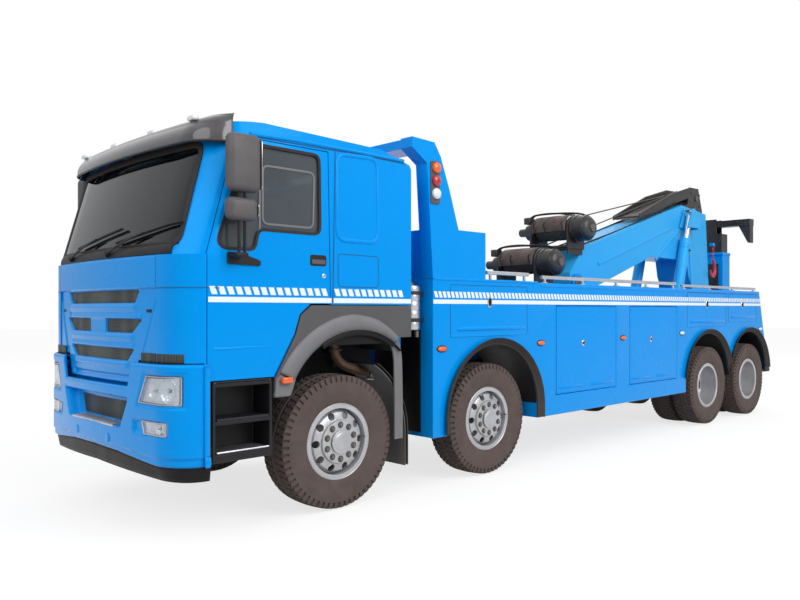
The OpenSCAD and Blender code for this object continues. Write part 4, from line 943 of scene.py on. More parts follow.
class OBJECT_OT_bumper(bpy.types.Operator):
    """Make the front bumper with its lamp pockets, grille recess, step, valance and beam."""

    bl_idname = "object.tow_bumper"
    bl_label = "Front bumper"

    def execute(self, context):
        end = front_s(1.2475)  # where the flat side begins
        stop = float(front_line(BUMPER_FRONT, rear=-1.22)[0][-1])
        s = np.concatenate([np.linspace(-stop, -end, 4)[:-1], np.linspace(-end, end, 270), np.linspace(end, stop, 4)[1:]])
        x, y = on_front(s, BUMPER_FRONT, 0, -1.22)
        a = np.abs(y)
        low = np.interp(np.abs(s), [0, 0.42, 0.95, 1.6], [0.585, 0.575, 0.53, 0.525])
        high = np.interp(a, [0, 0.608, 0.668, 1.3], [1.060, 1.060, 1.235, 1.235])
        v = np.linspace(0, 1, 84)
        grid_s = np.repeat(s[:, None], len(v), 1)
        grid_z = low[:, None] + v[None] * (high - low)[:, None]
        inset = self.relief(np.repeat(y[:, None], len(v), 1), grid_z, high[:, None], low[:, None])
        x, y = on_front(grid_s, BUMPER_FRONT, inset, -1.22)
        shell = grid(np.stack([x, y, grid_z], -1))
        bumper = make("bumper_shell", "truck", paint(), shell, shell=False, angle=50, solid=0.014)
        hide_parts("front_bumper")
        self.grille()
        self.underside()
        return {"FINISHED"}

    @staticmethod
    def relief(y, z, high, low):
        """Inward depth: lamp pockets, the tapering bowl round the grille, a crease over the lower lip and rolled upper and lower edges."""
        a = np.abs(y)

        def pocket(y0, y1, z0, z1, slant, soft=0.007):
            inner = y0 + slant * (z - z0) / (z1 - z0)
            return (smoothstep(inner - soft, inner + soft, a) * (1 - smoothstep(y1 - soft, y1 + soft, a))
                    * smoothstep(z0 - soft, z0 + soft, z) * (1 - smoothstep(z1 - soft, z1 + soft, z)))

        d = 0.05 * pocket(0.76, 1.18, 0.955, 1.150, 0.10) + 0.045 * pocket(0.835, 1.085, 0.74, 0.835, -0.03)
        d = d + 0.02 * pocket(0.70, 0.86, 0.745, 0.83, 0.0, 0.02)
        half = np.interp(z, [0.75, 0.97], [0.50, 0.62])
        bowl = (1 - smoothstep(-0.05, 0.0, a - half)) * smoothstep(0.755, 0.765, z) * (1 - smoothstep(0.955, 0.985, z))
        d = d + 0.085 * bowl
        inner = np.interp(z, [0.765, 0.95], [0.42, 0.50])
        d = d + 0.03 * (1 - smoothstep(-0.006, 0.006, a - inner)) * smoothstep(0.775, 0.785, z) * (1 - smoothstep(0.925, 0.935, z))
        d = d + 0.010 * (1 - smoothstep(0.0, 0.008, z - (0.615 - 0.03 * np.clip((a - 0.4) / 0.6, 0, 1))))
        ring = pocket(0.735, 1.205, 0.93, 1.175, 0.10, 0.008) - pocket(0.76, 1.18, 0.955, 1.150, 0.10, 0.004)
        d = d + 0.006 * np.clip(ring, 0, 1)
        d = d + 0.02 * np.exp(-(high - z) / 0.006) + 0.012 * np.exp(-(z - low) / 0.006)
        return d

    @staticmethod
    def grille():
        gy, gz = np.meshgrid(np.linspace(-0.5, 0.5, 40), np.linspace(0.78, 0.93, 6), indexing="ij")
        x = -BUMPER_FRONT + BOW * (gy / 0.988) ** 2 + 0.105
        make("bumper_grille", "truck", mesh_metal(), grid(np.stack([x, gy, gz], -1)), shell=False)
        step = prism([(-1.497, 0.752), (-1.405, 0.762), (-1.405, 0.772), (-1.497, 0.764)], -0.40, 0.40, "y", 0.002)
        make("bumper_step", "truck", bright_tube(), step)
        bars = [(-1.485 + 0.02 * i, 0) for i in range(4)]
        ribs = [tube([(x, -0.38, 0.7665 + 0.0035 * k), (x, 0.38, 0.7665 + 0.0035 * k)], 0.003, 6, (1, 0, 0)) for k, (x, _) in enumerate(bars)]
        make("bumper_step_ribs", "truck", bright_tube(), *ribs)
        cover = [lathe([(0, 0), (0, 0.035), (0.004, 0.035), (0.006, 0.03), (0.006, 0)], (-1.4935, y, 0.66), "x", 28, -1)
                 for y in (-0.3, 0.3)]
        make("tow_pin_covers", "truck", paint(), *cover)

    @staticmethod
    def underside():
        s_end = float(front_line(BUMPER_FRONT - 0.012, rear=-1.16)[0][-1])
        s = np.linspace(-s_end, s_end, 160)
        v = np.linspace(0, 1, 5)
        top = np.interp(np.abs(s), [0, 0.42, 0.95, 1.6], [0.592, 0.582, 0.537, 0.532])
        low = np.interp(np.abs(s), [0, 0.6, 1.2, 1.6], [0.455, 0.44, 0.425, 0.425])
        gs = np.repeat(s[:, None], 5, 1)
        gz = low[:, None] + v[None] * (top - low)[:, None]
        x, y = on_front(gs, BUMPER_FRONT - 0.014, 0.014 + 0.02 * (1 - v)[None], -1.16)
        valance = grid(np.stack([x, y, gz], -1))
        make("bumper_valance", "truck", black_valance_and_painted_shade(), valance, shell=False, solid=0.012)
        beams = [rounded_box((-1.40, -1.04, 0.60), (-1.33, 1.04, 0.74), 0.008),
                 both(rounded_box((-1.335, -0.43, 0.60), (-1.2503, -0.35, 0.91), 0.006),
                      rounded_box((-1.36, -1.10, 0.60), (-1.26, -1.035, 0.74), 0.008))]
        make("bumper_beam", "truck", chassis_black(), *beams)
        s = np.linspace(-front_s(1.16, CAB_FRONT), front_s(1.16, CAB_FRONT), 60)
        gs, gz = np.meshgrid(s, np.linspace(1.0, 1.262, 4), indexing="ij")
        make("bumper_backing", "truck", paint(), grid(front_patch(gs, gz, CAB_FRONT, 0.055)), shell=False, solid=0.003)


class OBJECT_OT_front_lamps(bpy.types.Operator):
    """Make the headlamps and fog lamps: chrome bowls, bulbs, rims and clear lenses."""

    bl_idname = "object.tow_front_lamps"
    bl_label = "Front lamps"

    def execute(self, context):
        lenses, bowls, rims, bulbs = [], [], [], []
        for y0, y1, z0, z1, slant, cups in (
                (0.763, 1.177, 0.958, 1.147, 0.10, ((0.92, 1.045, 0.062), (1.075, 1.05, 0.078))),
                (0.838, 1.082, 0.743, 0.832, -0.03, ((0.99, 0.787, 0.04),))):
            u, z = np.linspace(0, 1, 60), np.linspace(z0, z1, 34)
            first = np.array([front_s(y0 + slant * q) for q in np.linspace(0, 1, 34)])
            gs = first[None] + u[:, None] * (front_s(y1) - first[None])
            gz = np.repeat(z[None], 60, 0)
            lenses.append(grid(front_patch(gs[::2, ::3], gz[::2, ::3], BUMPER_FRONT, 0.006)))
            depth = 0.028 + 0 * gs
            for cy, cz, r in cups:
                away = np.hypot(gs - front_s(cy), gz - cz) / r
                depth = depth + 0.018 * np.clip(1 - away**2, 0, 1) - 0.004 * np.exp(-(((away - 1) / 0.08) ** 2))
            depth = depth + 0.003 * np.sin(gs * 210) * np.sin(gz * 160)
            bowls.append(grid(front_patch(gs, gz, BUMPER_FRONT, depth)))
            edge_s = np.concatenate([gs[:, 0], gs[-1, 1:-1], gs[::-1, -1], gs[0, -2:0:-1]])
            edge_z = np.concatenate([gz[:, 0], gz[-1, 1:-1], gz[::-1, -1], gz[0, -2:0:-1]])
            x, y = on_front(edge_s, BUMPER_FRONT, 0.006)
            rims.append(tube(np.stack([x, y, edge_z], -1), 0.005, 6, (-0.7, 0.7, 0.1), True))
            for cy, cz, r in cups:
                bx, by = on_front(np.array([front_s(cy)]), BUMPER_FRONT, 0.042)
                bulbs.append(lathe([(0, 0), (0.004, r * 0.18), (0.012, r * 0.2), (0.02, r * 0.12), (0.022, 0)],
                                   (float(bx[0]), float(by[0]), cz), "x", 16, -1))
        lens = make("front_lamp_lenses", "truck", clear_lens(), both(*lenses), shell=False, solid=0.003, angle=180)
        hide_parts("head_lamps")
        make("front_lamp_bowls", "truck", chrome(), both(*bowls), shell=False, solid=0.002)
        make("front_lamp_rims", "truck", bright_tube(), both(*rims))
        make("front_lamp_bulbs", "truck", white_lens(), both(*bulbs))
        return {"FINISHED"}


class OBJECT_OT_windscreen(bpy.types.Operator):
    """Finish the windscreen with its seal, cowl and wipers."""

    bl_idname = "object.tow_windscreen"
    bl_label = "Windscreen"

    @staticmethod
    def face(y, z, out):
        """A point on the sloping front over y and height, standing out by a distance."""
        _, plan_x, plan_y = front_line(0.0)
        return -1.440 + 1.0387 * np.interp(np.abs(y), plan_y[:-1], plan_x[:-1]) + 0.2811 * (z - 1.99) - out

    def execute(self, context):
        dressed("windscreen", glass(), 0.001, name="windscreen_pane")
        outline = rounded_outline([(-1.09, 2.06), (1.09, 2.06), (1.065, 2.785), (-1.065, 2.785)], 0.09, 7)
        y, z = outline[:, 0], outline[:, 1]
        fine = np.linspace(0, len(y), 260, endpoint=False)
        y = np.interp(fine, np.arange(len(y) + 1), np.append(y, y[0]))
        z = np.interp(fine, np.arange(len(z) + 1), np.append(z, z[0]))
        path = np.stack([self.face(y, z, -0.002), y, z], -1)
        make("windscreen_seal", "truck", trim_rubber(), sweep(rounded_rect(0.05, 0.014, 0.005, 2), path, (-1, 0, 0.2), True))
        gy, gz = np.meshgrid(np.linspace(-1.06, 1.06, 80), np.linspace(1.992, 2.072, 8), indexing="ij")
        bulge = 0.006 + 0.008 * np.sin((gz - 1.992) / 0.08 * math.pi)
        cowl = grid(np.stack([self.face(gy, gz, bulge), gy, gz], -1))
        make("windscreen_cowl", "truck", black_plastic(), cowl, shell=False, solid=0.008)
        wipers, pivots = [], []
        for y0, reach in ((0.62, -0.52), (-0.18, -0.5)):
            start = np.array([y0, 2.03])
            tip = np.array([y0 + reach, 2.16])
            t = np.linspace(0, 1, 12)[:, None]
            arm = start * (1 - t) + tip * t + np.array([0, 0.012]) * np.sin(math.pi * t)
            wipers.append(tube(np.stack([self.face(arm[:, 0], arm[:, 1], 0.035), arm[:, 0], arm[:, 1]], -1),
                               np.linspace(0.011, 0.006, 12), 8))
            along = np.linspace(-0.42, 0.40, 20)[:, None]
            blade = tip + along * np.array([0.985, -0.13])
            wipers.append(sweep(rounded_rect(0.012, 0.026, 0.004, 2),
                                np.stack([self.face(blade[:, 0], blade[:, 1], 0.02), blade[:, 0], blade[:, 1]], -1), (-1, 0, 0.2)))
            pivots.append(lathe([(0, 0), (0, 0.026), (0.03, 0.024), (0.036, 0.016), (0.036, 0)],
                                (float(self.face(np.array([y0]), np.array([2.03]), 0.01)[0]), y0, 2.03), "x", 20, -1))
        make("wipers", "truck", black_plastic(), *wipers, *pivots)
        return {"FINISHED"}


class OBJECT_OT_visor(bpy.types.Operator):
    """Make the smoked sun visor: a ribbed shade that runs back from its lip to the roof."""

    bl_idname = "object.tow_visor"
    bl_label = "Sun visor"

    def execute(self, context):
        front = 1.311
        stop = front_s(1.2475, front) + 0.05
        s = np.linspace(-stop, stop, 160)
        t = np.linspace(0, 1, 40)
        x0, y0 = on_front(s, front, 0.0)
        y0 = np.clip(y0 * 1.236 / CAB_Y, -1.238, 1.238)
        gx, gt = np.repeat(x0[:, None], 40, 1), np.repeat(t[None], len(s), 0)
        gy = np.repeat(y0[:, None], 40, 1)
        back = -0.955
        lip = 2.785
        rise = 0.212 * np.sin(np.clip(gt, 0, 1) * math.pi / 2) ** 0.8
        x = gx + (back - gx) * (1 - np.cos(gt * math.pi / 2))
        rib = 0.010 * smoothstep(0.38, 0.41, gt) + 0.006 * smoothstep(0.72, 0.75, gt)
        z = lip + rise + rib
        inner = 1 - 0.05 * gt * smoothstep(1.0, 1.24, np.abs(gy))
        shell = grid(np.stack([x, gy * inner, z], -1))
        visor = make("visor_shade", "truck", smoked(), shell, shell=False, angle=60, solid=0.007)
        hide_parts("sun_visor")
        x1, y1 = on_front(s, front, 0.004)
        edge = tube(np.stack([x1, np.clip(y1 * 1.236 / CAB_Y, -1.238, 1.238), np.full(len(s), 2.787)], -1), 0.007, 8)
        make("visor_lip", "truck", black_plastic(), edge)
        stays = [prism([(-1.11, 2.885), (-0.957, 2.94), (-0.957, 2.99), (-1.11, 2.955)], y - 0.012, y + 0.012, "y", 0.003)
                 for y in (-1.0, 0.0, 1.0)]
        make("visor_stays", "truck", black_plastic(), *stays)
        lamps = []
        for y in (-1.0, -0.35, 0.35, 1.0):
            lamps.append(rounded_box((-1.20, y - 0.05, 2.95), (-1.15, y + 0.05, 2.987), 0.012))
        make("visor_marker_lamps", "truck", white_lens(), *lamps)
        return {"FINISHED"}


class OBJECT_OT_mirrors(bpy.types.Operator):
    """Make both mirror sets: tall and wide-angle heads, their glass, tubes and door bracket."""

    bl_idname = "object.tow_mirrors"
    bl_label = "Mirrors"

    def execute(self, context):
        for name, side in SIDES:
            node_name = name + "_mirror"
            body = body_of(node_name)
            y0 = -CAB_Y
            heads = [rounded_box((-1.115, y0 - 0.164, 2.425), (-0.865, y0 - 0.06, 2.83), 0.048, 5, 5),
                     rounded_box((-1.12, y0 - 0.164, 2.225), (-0.89, y0 - 0.06, 2.385), 0.046, 5, 5)]
            shell = make(name + "_mirror_heads", body, mirror_shell(), on_side(side, *heads), angle=60)
            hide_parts(node_name)
            panes = [prism(rounded_outline([(y0 - 0.155, 2.455), (y0 - 0.075, 2.455), (y0 - 0.075, 2.8), (y0 - 0.155, 2.8)], 0.02),
                           -0.866, -0.862, "x", 0.001),
                     prism(rounded_outline([(y0 - 0.155, 2.26), (y0 - 0.072, 2.26), (y0 - 0.072, 2.35), (y0 - 0.155, 2.35)], 0.02),
                           -0.891, -0.887, "x", 0.001)]
            make(name + "_mirror_panes", body, chrome(), on_side(side, *panes))
            tubes = [tube([(-1.02, y0 - 0.11, 2.0), (-1.02, y0 - 0.11, 2.43)], 0.011, 10, (0, 1, 0)),
                     tube([(-0.975, y0 - 0.11, 2.0), (-0.975, y0 - 0.11, 2.43)], 0.011, 10, (0, 1, 0)),
                     tube(spline([(-0.915, y0 - 0.001, 2.815), (-0.94, y0 - 0.05, 2.818), (-0.98, y0 - 0.11, 2.80)], 12), 0.013, 10)]
            foot = [prism(rounded_outline([(-1.05, 1.93), (-0.79, 1.925), (-0.79, 1.962), (-0.96, 2.015), (-1.05, 2.015)], 0.012),
                          y0 - 0.018, y0 - 0.0005, "y", 0.004),
                    rounded_box((-1.045, y0 - 0.125, 1.975), (-0.95, y0 - 0.01, 2.008), 0.01)]
            make(name + "_mirror_arms", body, black_plastic(), on_side(side, *tubes, *foot))
        return {"FINISHED"}


def cushion(low, high, crown=0.03, channels=0, power=0.28, n=34):
    """A crowned pad: a rounded block x = sign(cos) |cos|^p in each direction, swollen in its middle, with sewn channels pressed across it."""
    low, high = np.asarray(low, float), np.asarray(high, float)
    u = np.linspace(-math.pi / 2, math.pi / 2, n)[:, None]
    v = (np.arange(2 * n) * math.pi / n)[None]
    c = lambda w: np.sign(np.cos(w)) * np.abs(np.cos(w)) ** power
    s = lambda w: np.sign(np.sin(w)) * np.abs(np.sin(w)) ** power
    x, y, z = c(u) * c(v), c(u) * s(v), s(u) + 0 * v
    swell = 1 + crown * (1 - np.clip(x**2, 0, 1)) * (1 - np.clip(y**2, 0, 1)) * np.abs(z)
    z = z * swell
    if channels:
        z = z - 0.10 * np.sign(z) * np.exp(-((np.abs((y * channels / 2) % 1 - 0.5) - 0.5) / 0.05) ** 2) * (np.abs(z) > 0.5)
    mid, half = (low + high) / 2, (high - low) / 2
    return grid(np.stack([x, y, z], -1) * half + mid, wrap_v=True)


class OBJECT_OT_cab_interior(bpy.types.Operator):
    """Make what shows through the glass: seats, bunk, dashboard and steering wheel."""

    bl_idname = "object.tow_cab_interior"
    bl_label = "Cab interior"

    def execute(self, context):
        dash = prism(rounded_outline([(-1.2597, 1.60), (-1.01, 1.64), (-0.96, 1.94), (-1.02, 2.0), (-1.2597, 1.985)], 0.03),
                     -1.14, 1.14, "y", 0.01)
        cowl = prism(rounded_outline([(-1.05, 1.98), (-0.96, 1.94), (-0.94, 2.03), (-1.05, 2.06)], 0.02), -0.86, -0.38, "y", 0.01)
        base = make("dashboard", "truck", dash_plastic(), dash, cowl)
        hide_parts("cab_interior")
        axis = np.array([math.sin(math.radians(50)), 0, math.cos(math.radians(50))])
        hub = np.array([-1.0, -0.62, 1.78]) + axis * 0.25
        a = np.arange(48) * 2 * math.pi / 48
        e1, e2 = np.array([0, 1.0, 0]), np.cross(axis, [0, 1.0, 0])
        rim = hub + 0.215 * (np.cos(a)[:, None] * e1 + np.sin(a)[:, None] * e2)
        spokes = [tube([hub, hub + 0.205 * (math.cos(q) * e1 + math.sin(q) * e2)], 0.014, 8) for q in np.radians([90, 210, 330])]
        column = tube([np.array([-1.0, -0.62, 1.78]), hub + axis * 0.015], [0.03, 0.045], 16)
        make("steering_wheel", "truck", black_plastic(), tube(rim, 0.016, 10, axis, True), *spokes, column)
        for label, y in (("left", -0.62), ("right", 0.62)):
            x = -0.33
            seat = make(label + "_seat_cushion", "truck", fabric(),
                        cushion((x - 0.29, y - 0.25, 1.66), (x + 0.23, y + 0.25, 1.79), 0.05, 4), angle=180)
            back = turned(cushion((x + 0.13, y - 0.24, 1.76), (x + 0.27, y + 0.24, 2.38), 0.02), (x + 0.2, y, 1.8), (0, 1, 0), 11)
            rest = turned(cushion((x + 0.16, y - 0.13, 2.41), (x + 0.25, y + 0.13, 2.56), 0.02), (x + 0.2, y, 1.8), (0, 1, 0), 11)
            back_obj = make(label + "_seat_back", "truck", fabric(), back, angle=180)
            rest_obj = make(label + "_seat_headrest", "truck", fabric(), rest, angle=180)
            seat, back_obj, rest_obj
            make(label + "_seat_base", "truck", dash_plastic(), rounded_box((x - 0.24, y - 0.22, 1.4003), (x + 0.19, y + 0.22, 1.672), 0.02))
        bunk = make("bunk_mattress", "truck", fabric(), cushion((0.14, -1.08, 1.68), (0.64, 1.08, 1.82), 0.03, 0, 0.18), angle=180)
        make("bunk_base", "truck", dash_plastic(), rounded_box((0.135, -1.1, 1.4003), (0.645, 1.1, 1.69), 0.015))
        return {"FINISHED"}


class OBJECT_OT_guards(bpy.types.Operator):
    """Finish the wheel guards of axle 1, the steps, the flared trim, flaps and their lamps."""

    bl_idname = "object.tow_guards"
    bl_label = "Guards and steps"

    def execute(self, context):
        dressed("mudguards", plastic(), 0.004)
        dressed("cab_steps", black_plastic(), 0.008)
        a = np.radians(np.linspace(152, 56, 60))
        v = np.linspace(0, 1, 12)
        cx, cz = 0.115, 0.75
        outer = np.interp(np.degrees(a), [56, 75, 95, 130, 152], [0.76, 0.80, 0.826, 0.832, 0.836])
        inner = 0.686
        r = inner + (outer[:, None] - inner) * v[None]
        y = -CAB_Y - 0.022 * np.sin(np.clip(v, 0, 1) * math.pi) ** 0.7 - 0.002 + 0.05 * np.clip(0.25 - v, 0, 1)
        x = cx + r * np.cos(a)[:, None]
        z = cz + r * np.sin(a)[:, None]
        flare = grid(np.stack([x, np.repeat(y[None], len(a), 0), z], -1))
        v_f, f_f = flare
        make("cab_arch_trim", "truck", light_plastic(), both((v_f, [q[::-1] for q in f_f])), shell=False, solid=0.006, angle=50)
        foot = [prism(rounded_outline([(-0.668, 0.965), (-0.53, 0.965), (-0.485, 1.085), (-0.62, 1.125), (-0.655, 1.09)], 0.015),
                      -CAB_Y - 0.008, -CAB_Y + 0.03, "y", 0.004)]
        make("arch_trim_feet", "truck", light_plastic(), both(*foot))
        lamp = rounded_box((-0.625, -CAB_Y - 0.05, 1.062), (-0.535, -CAB_Y - 0.006, 1.108), 0.012)
        make("arch_lamps", "truck", amber(), both(lamp))
        # edge band of the rear quarter guard, then straight down to the flap
        path = spline([(0.49, -1.19, 1.375), (0.55, -1.19, 1.31), (0.58, -1.19, 1.20), (0.588, -1.19, 1.0), (0.592, -1.19, 0.75), (0.592, -1.19, 0.50)], 40)
        band = sweep([(-0.045, -0.008), (0.045, -0.008), (0.045, 0.03), (0.03, 0.03), (0.03, 0.006), (-0.045, 0.006)], path, (0, 1, 0))
        make("rear_quarter_edges", "truck", light_plastic(), both(band))
        well = sweep([(-0.004, -0.30), (0.0, -0.30), (0.0, 0.30), (-0.004, 0.30)], arc_points(0.115, 0.75, 0.695, 46, 150, -0.93, 50), (0, 1, 0))
        wall = prism([(-0.58, 0.98), (0.70, 0.98), (0.70, 1.38), (0.5, 1.399), (-0.3, 1.399), (-0.58, 1.2)], -0.68, -0.63)
        lip_r = np.array([0.65, 0.692])
        lip_a = np.radians(np.linspace(122, 56, 40))
        x, z = cx + lip_r[None] * np.cos(lip_a)[:, None], cz + lip_r[None] * np.sin(lip_a)[:, None]
        lip = grid(np.stack([x, np.full_like(x, -CAB_Y - 0.0015), z], -1))
        skirt = rounded_box((-0.28, -1.215, 1.325), (0.52, -1.19, 1.425), 0.004)
        # painted shade: a near-black plate over the inner part of the locker body's front face, standing for the shadow
        # there
        guard = rounded_box((0.936, -1.095, 0.50), (0.9497, -0.45, 1.42), 0.004)
        make("front_arch_liners_and_shade_panel", "truck", black_valance_and_painted_shade(), both(well, wall, skirt, guard))
        make("front_arch_lips", "truck", black_valance_and_painted_shade(), both(lip), shell=False, solid=0.004)
        tread = []
        for z in (0.601, 0.831):
            tread.append(rounded_box((-1.12, -1.236, z), (-0.71, -1.02, z + 0.012), 0.003))
        tread.append(rounded_box((-1.145, -1.238, 1.0965), (-0.69, -0.99, 1.105), 0.003))
        make("step_treads", "truck", tread_plate(), both(*tread))
        ribs = [tube([(x, -1.225, z), (x, -1.03, z)], 0.004, 6, (1, 0, 0)) for z in (0.613, 0.843) for x in np.linspace(-1.10, -0.73, 16)]
        lips = [tube([(-1.12, -1.236, z), (-0.71, -1.236, z)], 0.007, 8, (0, 1, 0)) for z in (0.612, 0.842, 1.103)]
        make("step_ribs", "truck", bright_tube(), both(*ribs[:16], lips[0]))
        make("upper_step_ribs", "truck", black_plastic(), both(*ribs[16:], *lips[1:]))
        drop = np.concatenate([arc_points(0, HUB_Z, 0.722, 58, 2, -0.945, 30), [(0.722, -0.945, 0.255)]])
        flap = sweep([(-0.004, -0.225), (0.004, -0.225), (0.004, 0.225), (-0.004, 0.225)], drop, (0, 1, 0))
        make("front_flaps", "truck", trim_rubber(), both(flap))
        flap_bolts = bolts([(0.716, y, 0.45) for y in (-1.1, -0.95, -0.8)], 0.01, 0.008, "x", -1)
        make("flap_bolts", "truck", steel(), both(flap_bolts))
        return {"FINISHED"}


class OBJECT_OT_air_system(bpy.types.Operator):
    """Make the intake canister with its clamps, and the exhaust pipe over wheel 1."""

    bl_idname = "object.tow_air_system"
    bl_label = "Canister and exhaust"

    def execute(self, context):
        x, y = 0.815, -1.11
        profile = [(1.425, 0), (1.425, 0.06), (1.432, 0.074), (1.445, 0.078)]
        for z in (1.52, 1.60, 1.68, 1.76):
            profile += [(z - 0.01, 0.078), (z - 0.004, 0.0745), (z + 0.004, 0.0745), (z + 0.01, 0.078)]
        profile += [(1.80, 0.078), (1.818, 0.07), (1.825, 0.05), (1.825, 0)]
        can = make("air_canister_shell", "truck", bright_tube(), lathe([(z, r) for z, r in profile], (x, y, 0), "z", 40))
        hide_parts("air_canister")
        clamps = [lathe([(z, 0.0785), (z, 0.083), (z + 0.03, 0.083), (z + 0.03, 0.0785)], (x, y, 0), "z", 40) for z in (1.50, 1.74)]
        arms = [rounded_box((x + 0.07, y - 0.02, z), (0.9497, y + 0.02, z + 0.03), 0.004) for z in (1.50, 1.74)]
        make("air_canister_clamps", "truck", chassis_black(), *clamps, *arms)
        fittings = [tube([(x, y, 1.825), (x, y, 1.845)], 0.022, 12, (0, 1, 0)),
                    tube(spline([(x - 0.05, y - 0.02, 1.82), (x - 0.06, y - 0.03, 1.87), (x - 0.03, y, 1.9), (x + 0.05, y + 0.05, 1.88), (x + 0.1, y + 0.1, 1.75)], 24), 0.012, 8),
                    lathe([(0, 0), (0, 0.02), (0.05, 0.02), (0.06, 0.012), (0.06, 0)], (x + 0.03, y - 0.04, 1.365), "z", 16)]
        make("air_canister_fittings", "truck", steel(), *fittings)
        yp = -0.93
        pipe = spline([(0.10, yp, 1.62), (0.105, yp, 1.45), (0.112, yp, 1.27), (0.15, yp, 1.185), (0.22, yp, 1.135), (0.36, yp, 1.085), (0.50, yp, 1.05)], 60)
        flange = lathe([(-0.006, 0), (-0.006, 0.062), (0.006, 0.062), (0.006, 0)], (0.112, yp, 1.27), "z", 28)
        make("exhaust_pipe", "truck", exhaust_steel(), tube(pipe, 0.040, 18, (0, 1, 0)), flange)
        t = np.linspace(0, 1, 25)
        ends = np.stack([0.47 + 0.14 * t, np.full(25, yp), 1.056 - 0.02 * t], -1)
        make("exhaust_bellows", "truck", bright_tube(), tube(ends, 0.052 + 0.006 * np.sin(t * 8 * math.pi) ** 2, 22, (0, 1, 0)))
        ducts = [tube(spline([(-0.2, -0.72, 1.15), (-0.15, -0.74, 1.25), (-0.1, -0.7, 1.34)], 14), 0.03, 12),
                 tube(spline([(0.28, -0.74, 1.3), (0.27, -0.76, 1.2), (0.26, -0.72, 1.12)], 14), 0.022, 12),
                 rounded_box((0.2, -0.78, 1.22), (0.3, -0.68, 1.3), 0.015), rounded_box((-0.3, -0.74, 1.05), (-0.12, -0.62, 1.2), 0.02)]
        make("arch_fittings", "truck", chassis_black(), *ducts)
        return {"FINISHED"}


# ---------------------------------------------------------------- wheels
SEAT_R = 0.286
TYRE_R = 0.5425
TYRE_W = 0.30


def tyre_mesh(at, side):
    """A tyre as radius over angle and section: the section runs over the bead, side wall and tread, and the tread is cut by slanted grooves every 1/60 turn in its shoulders and four round grooves between."""
    lugs = 60
    phase = np.array([0.0, 0.58, 0.64, 0.94])
    angle = ((np.arange(lugs)[:, None] + phase[None]) / lugs * 2 * math.pi).ravel()
    cut = np.tile(np.array([0, 0, 1, 1]), lugs)
    half = 0.122
    tread = np.linspace(-half, half, 25)
    right = np.array([(0.136, 0.008), (0.141, 0.022), (0.1445, 0.036), (0.147, 0.048), (0.1485, 0.058), (0.150, 0.09), (0.149, 0.12), (0.145, 0.15), (0.138, 0.19), (0.131, 0.222), (0.119, 0.236), (0.113, 0.2365), (0.10, 0.252)])
    w = np.concatenate([[-0.10], -right[::-1][:, 0], tread, right[:, 0], [0.10]])
    drop = np.concatenate([[0.27], right[::-1][:, 1], np.zeros(25), right[:, 1], [0.27]])
    drop = np.minimum(drop, TYRE_R - SEAT_R)
    drop[0] = drop[-1] = TYRE_R - SEAT_R - 0.0003
    across = np.abs(w)
    crown = 0.006 * (w / half) ** 2 * (across <= half)
    rings = sum(np.exp(-(((w - g) / 0.006) ** 2)) for g in (-0.068, -0.023, 0.023, 0.068)) * (across <= half)
    shoulder = smoothstep(0.078, 0.088, across) * (1 - smoothstep(0.040, 0.060, drop))
    mid = (across < 0.066) * (across > 0.026)
    ribs = 0.0016 * (np.abs(drop - 0.075) < 0.004) + 0.0016 * (np.abs(drop - 0.20) < 0.008)
    r = TYRE_R - drop - crown - 0.013 * np.clip(rings, 0, 1)
    depth = 0.013 * shoulder[None] * cut[:, None] + 0.008 * mid[None] * cut[:, None]
    radius = r[None] - depth + ribs[None]
    slant = 0.5 * w / half * (2 * math.pi / lugs) * (across <= 0.13)
    theta = angle[:, None] + slant[None]
    notch = smoothstep(0.004, 0.012, drop) * (1 - smoothstep(0.046, 0.057, drop)) * (across > 0.13)
    wide = w[None] - np.sign(w)[None] * 0.011 * notch[None] * cut[:, None]
    x, y, z = at
    p = np.stack([x + radius * np.cos(theta), y + side * wide, z + radius * np.sin(theta)], -1)
    return grid(p, wrap_u=True, wrap_v=True)


class OBJECT_OT_tyres(bpy.types.Operator):
    """Make every tyre with its tread blocks, grooves and side wall."""

    bl_idname = "object.tow_tyres"
    bl_label = "Tyres"

    def execute(self, context):
        for k, label in ((0, "tyre_1"), (1, "tyre_2"), (2, "tyres_3"), (3, "tyres_4")):
            for name, side in SIDES:
                node_name = f"{name}_{label}"
                mid = centre(node_name)
                offsets = (0,) if k < 2 else (-0.175, 0.175)
                meshes = [tyre_mesh((AXLES[k], mid[1] + o, HUB_Z), side) for o in offsets]
                obj = make(node_name + "_treaded", body_of(node_name), rubber(), *meshes, angle=28)
                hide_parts(node_name)
        return {"FINISHED"}


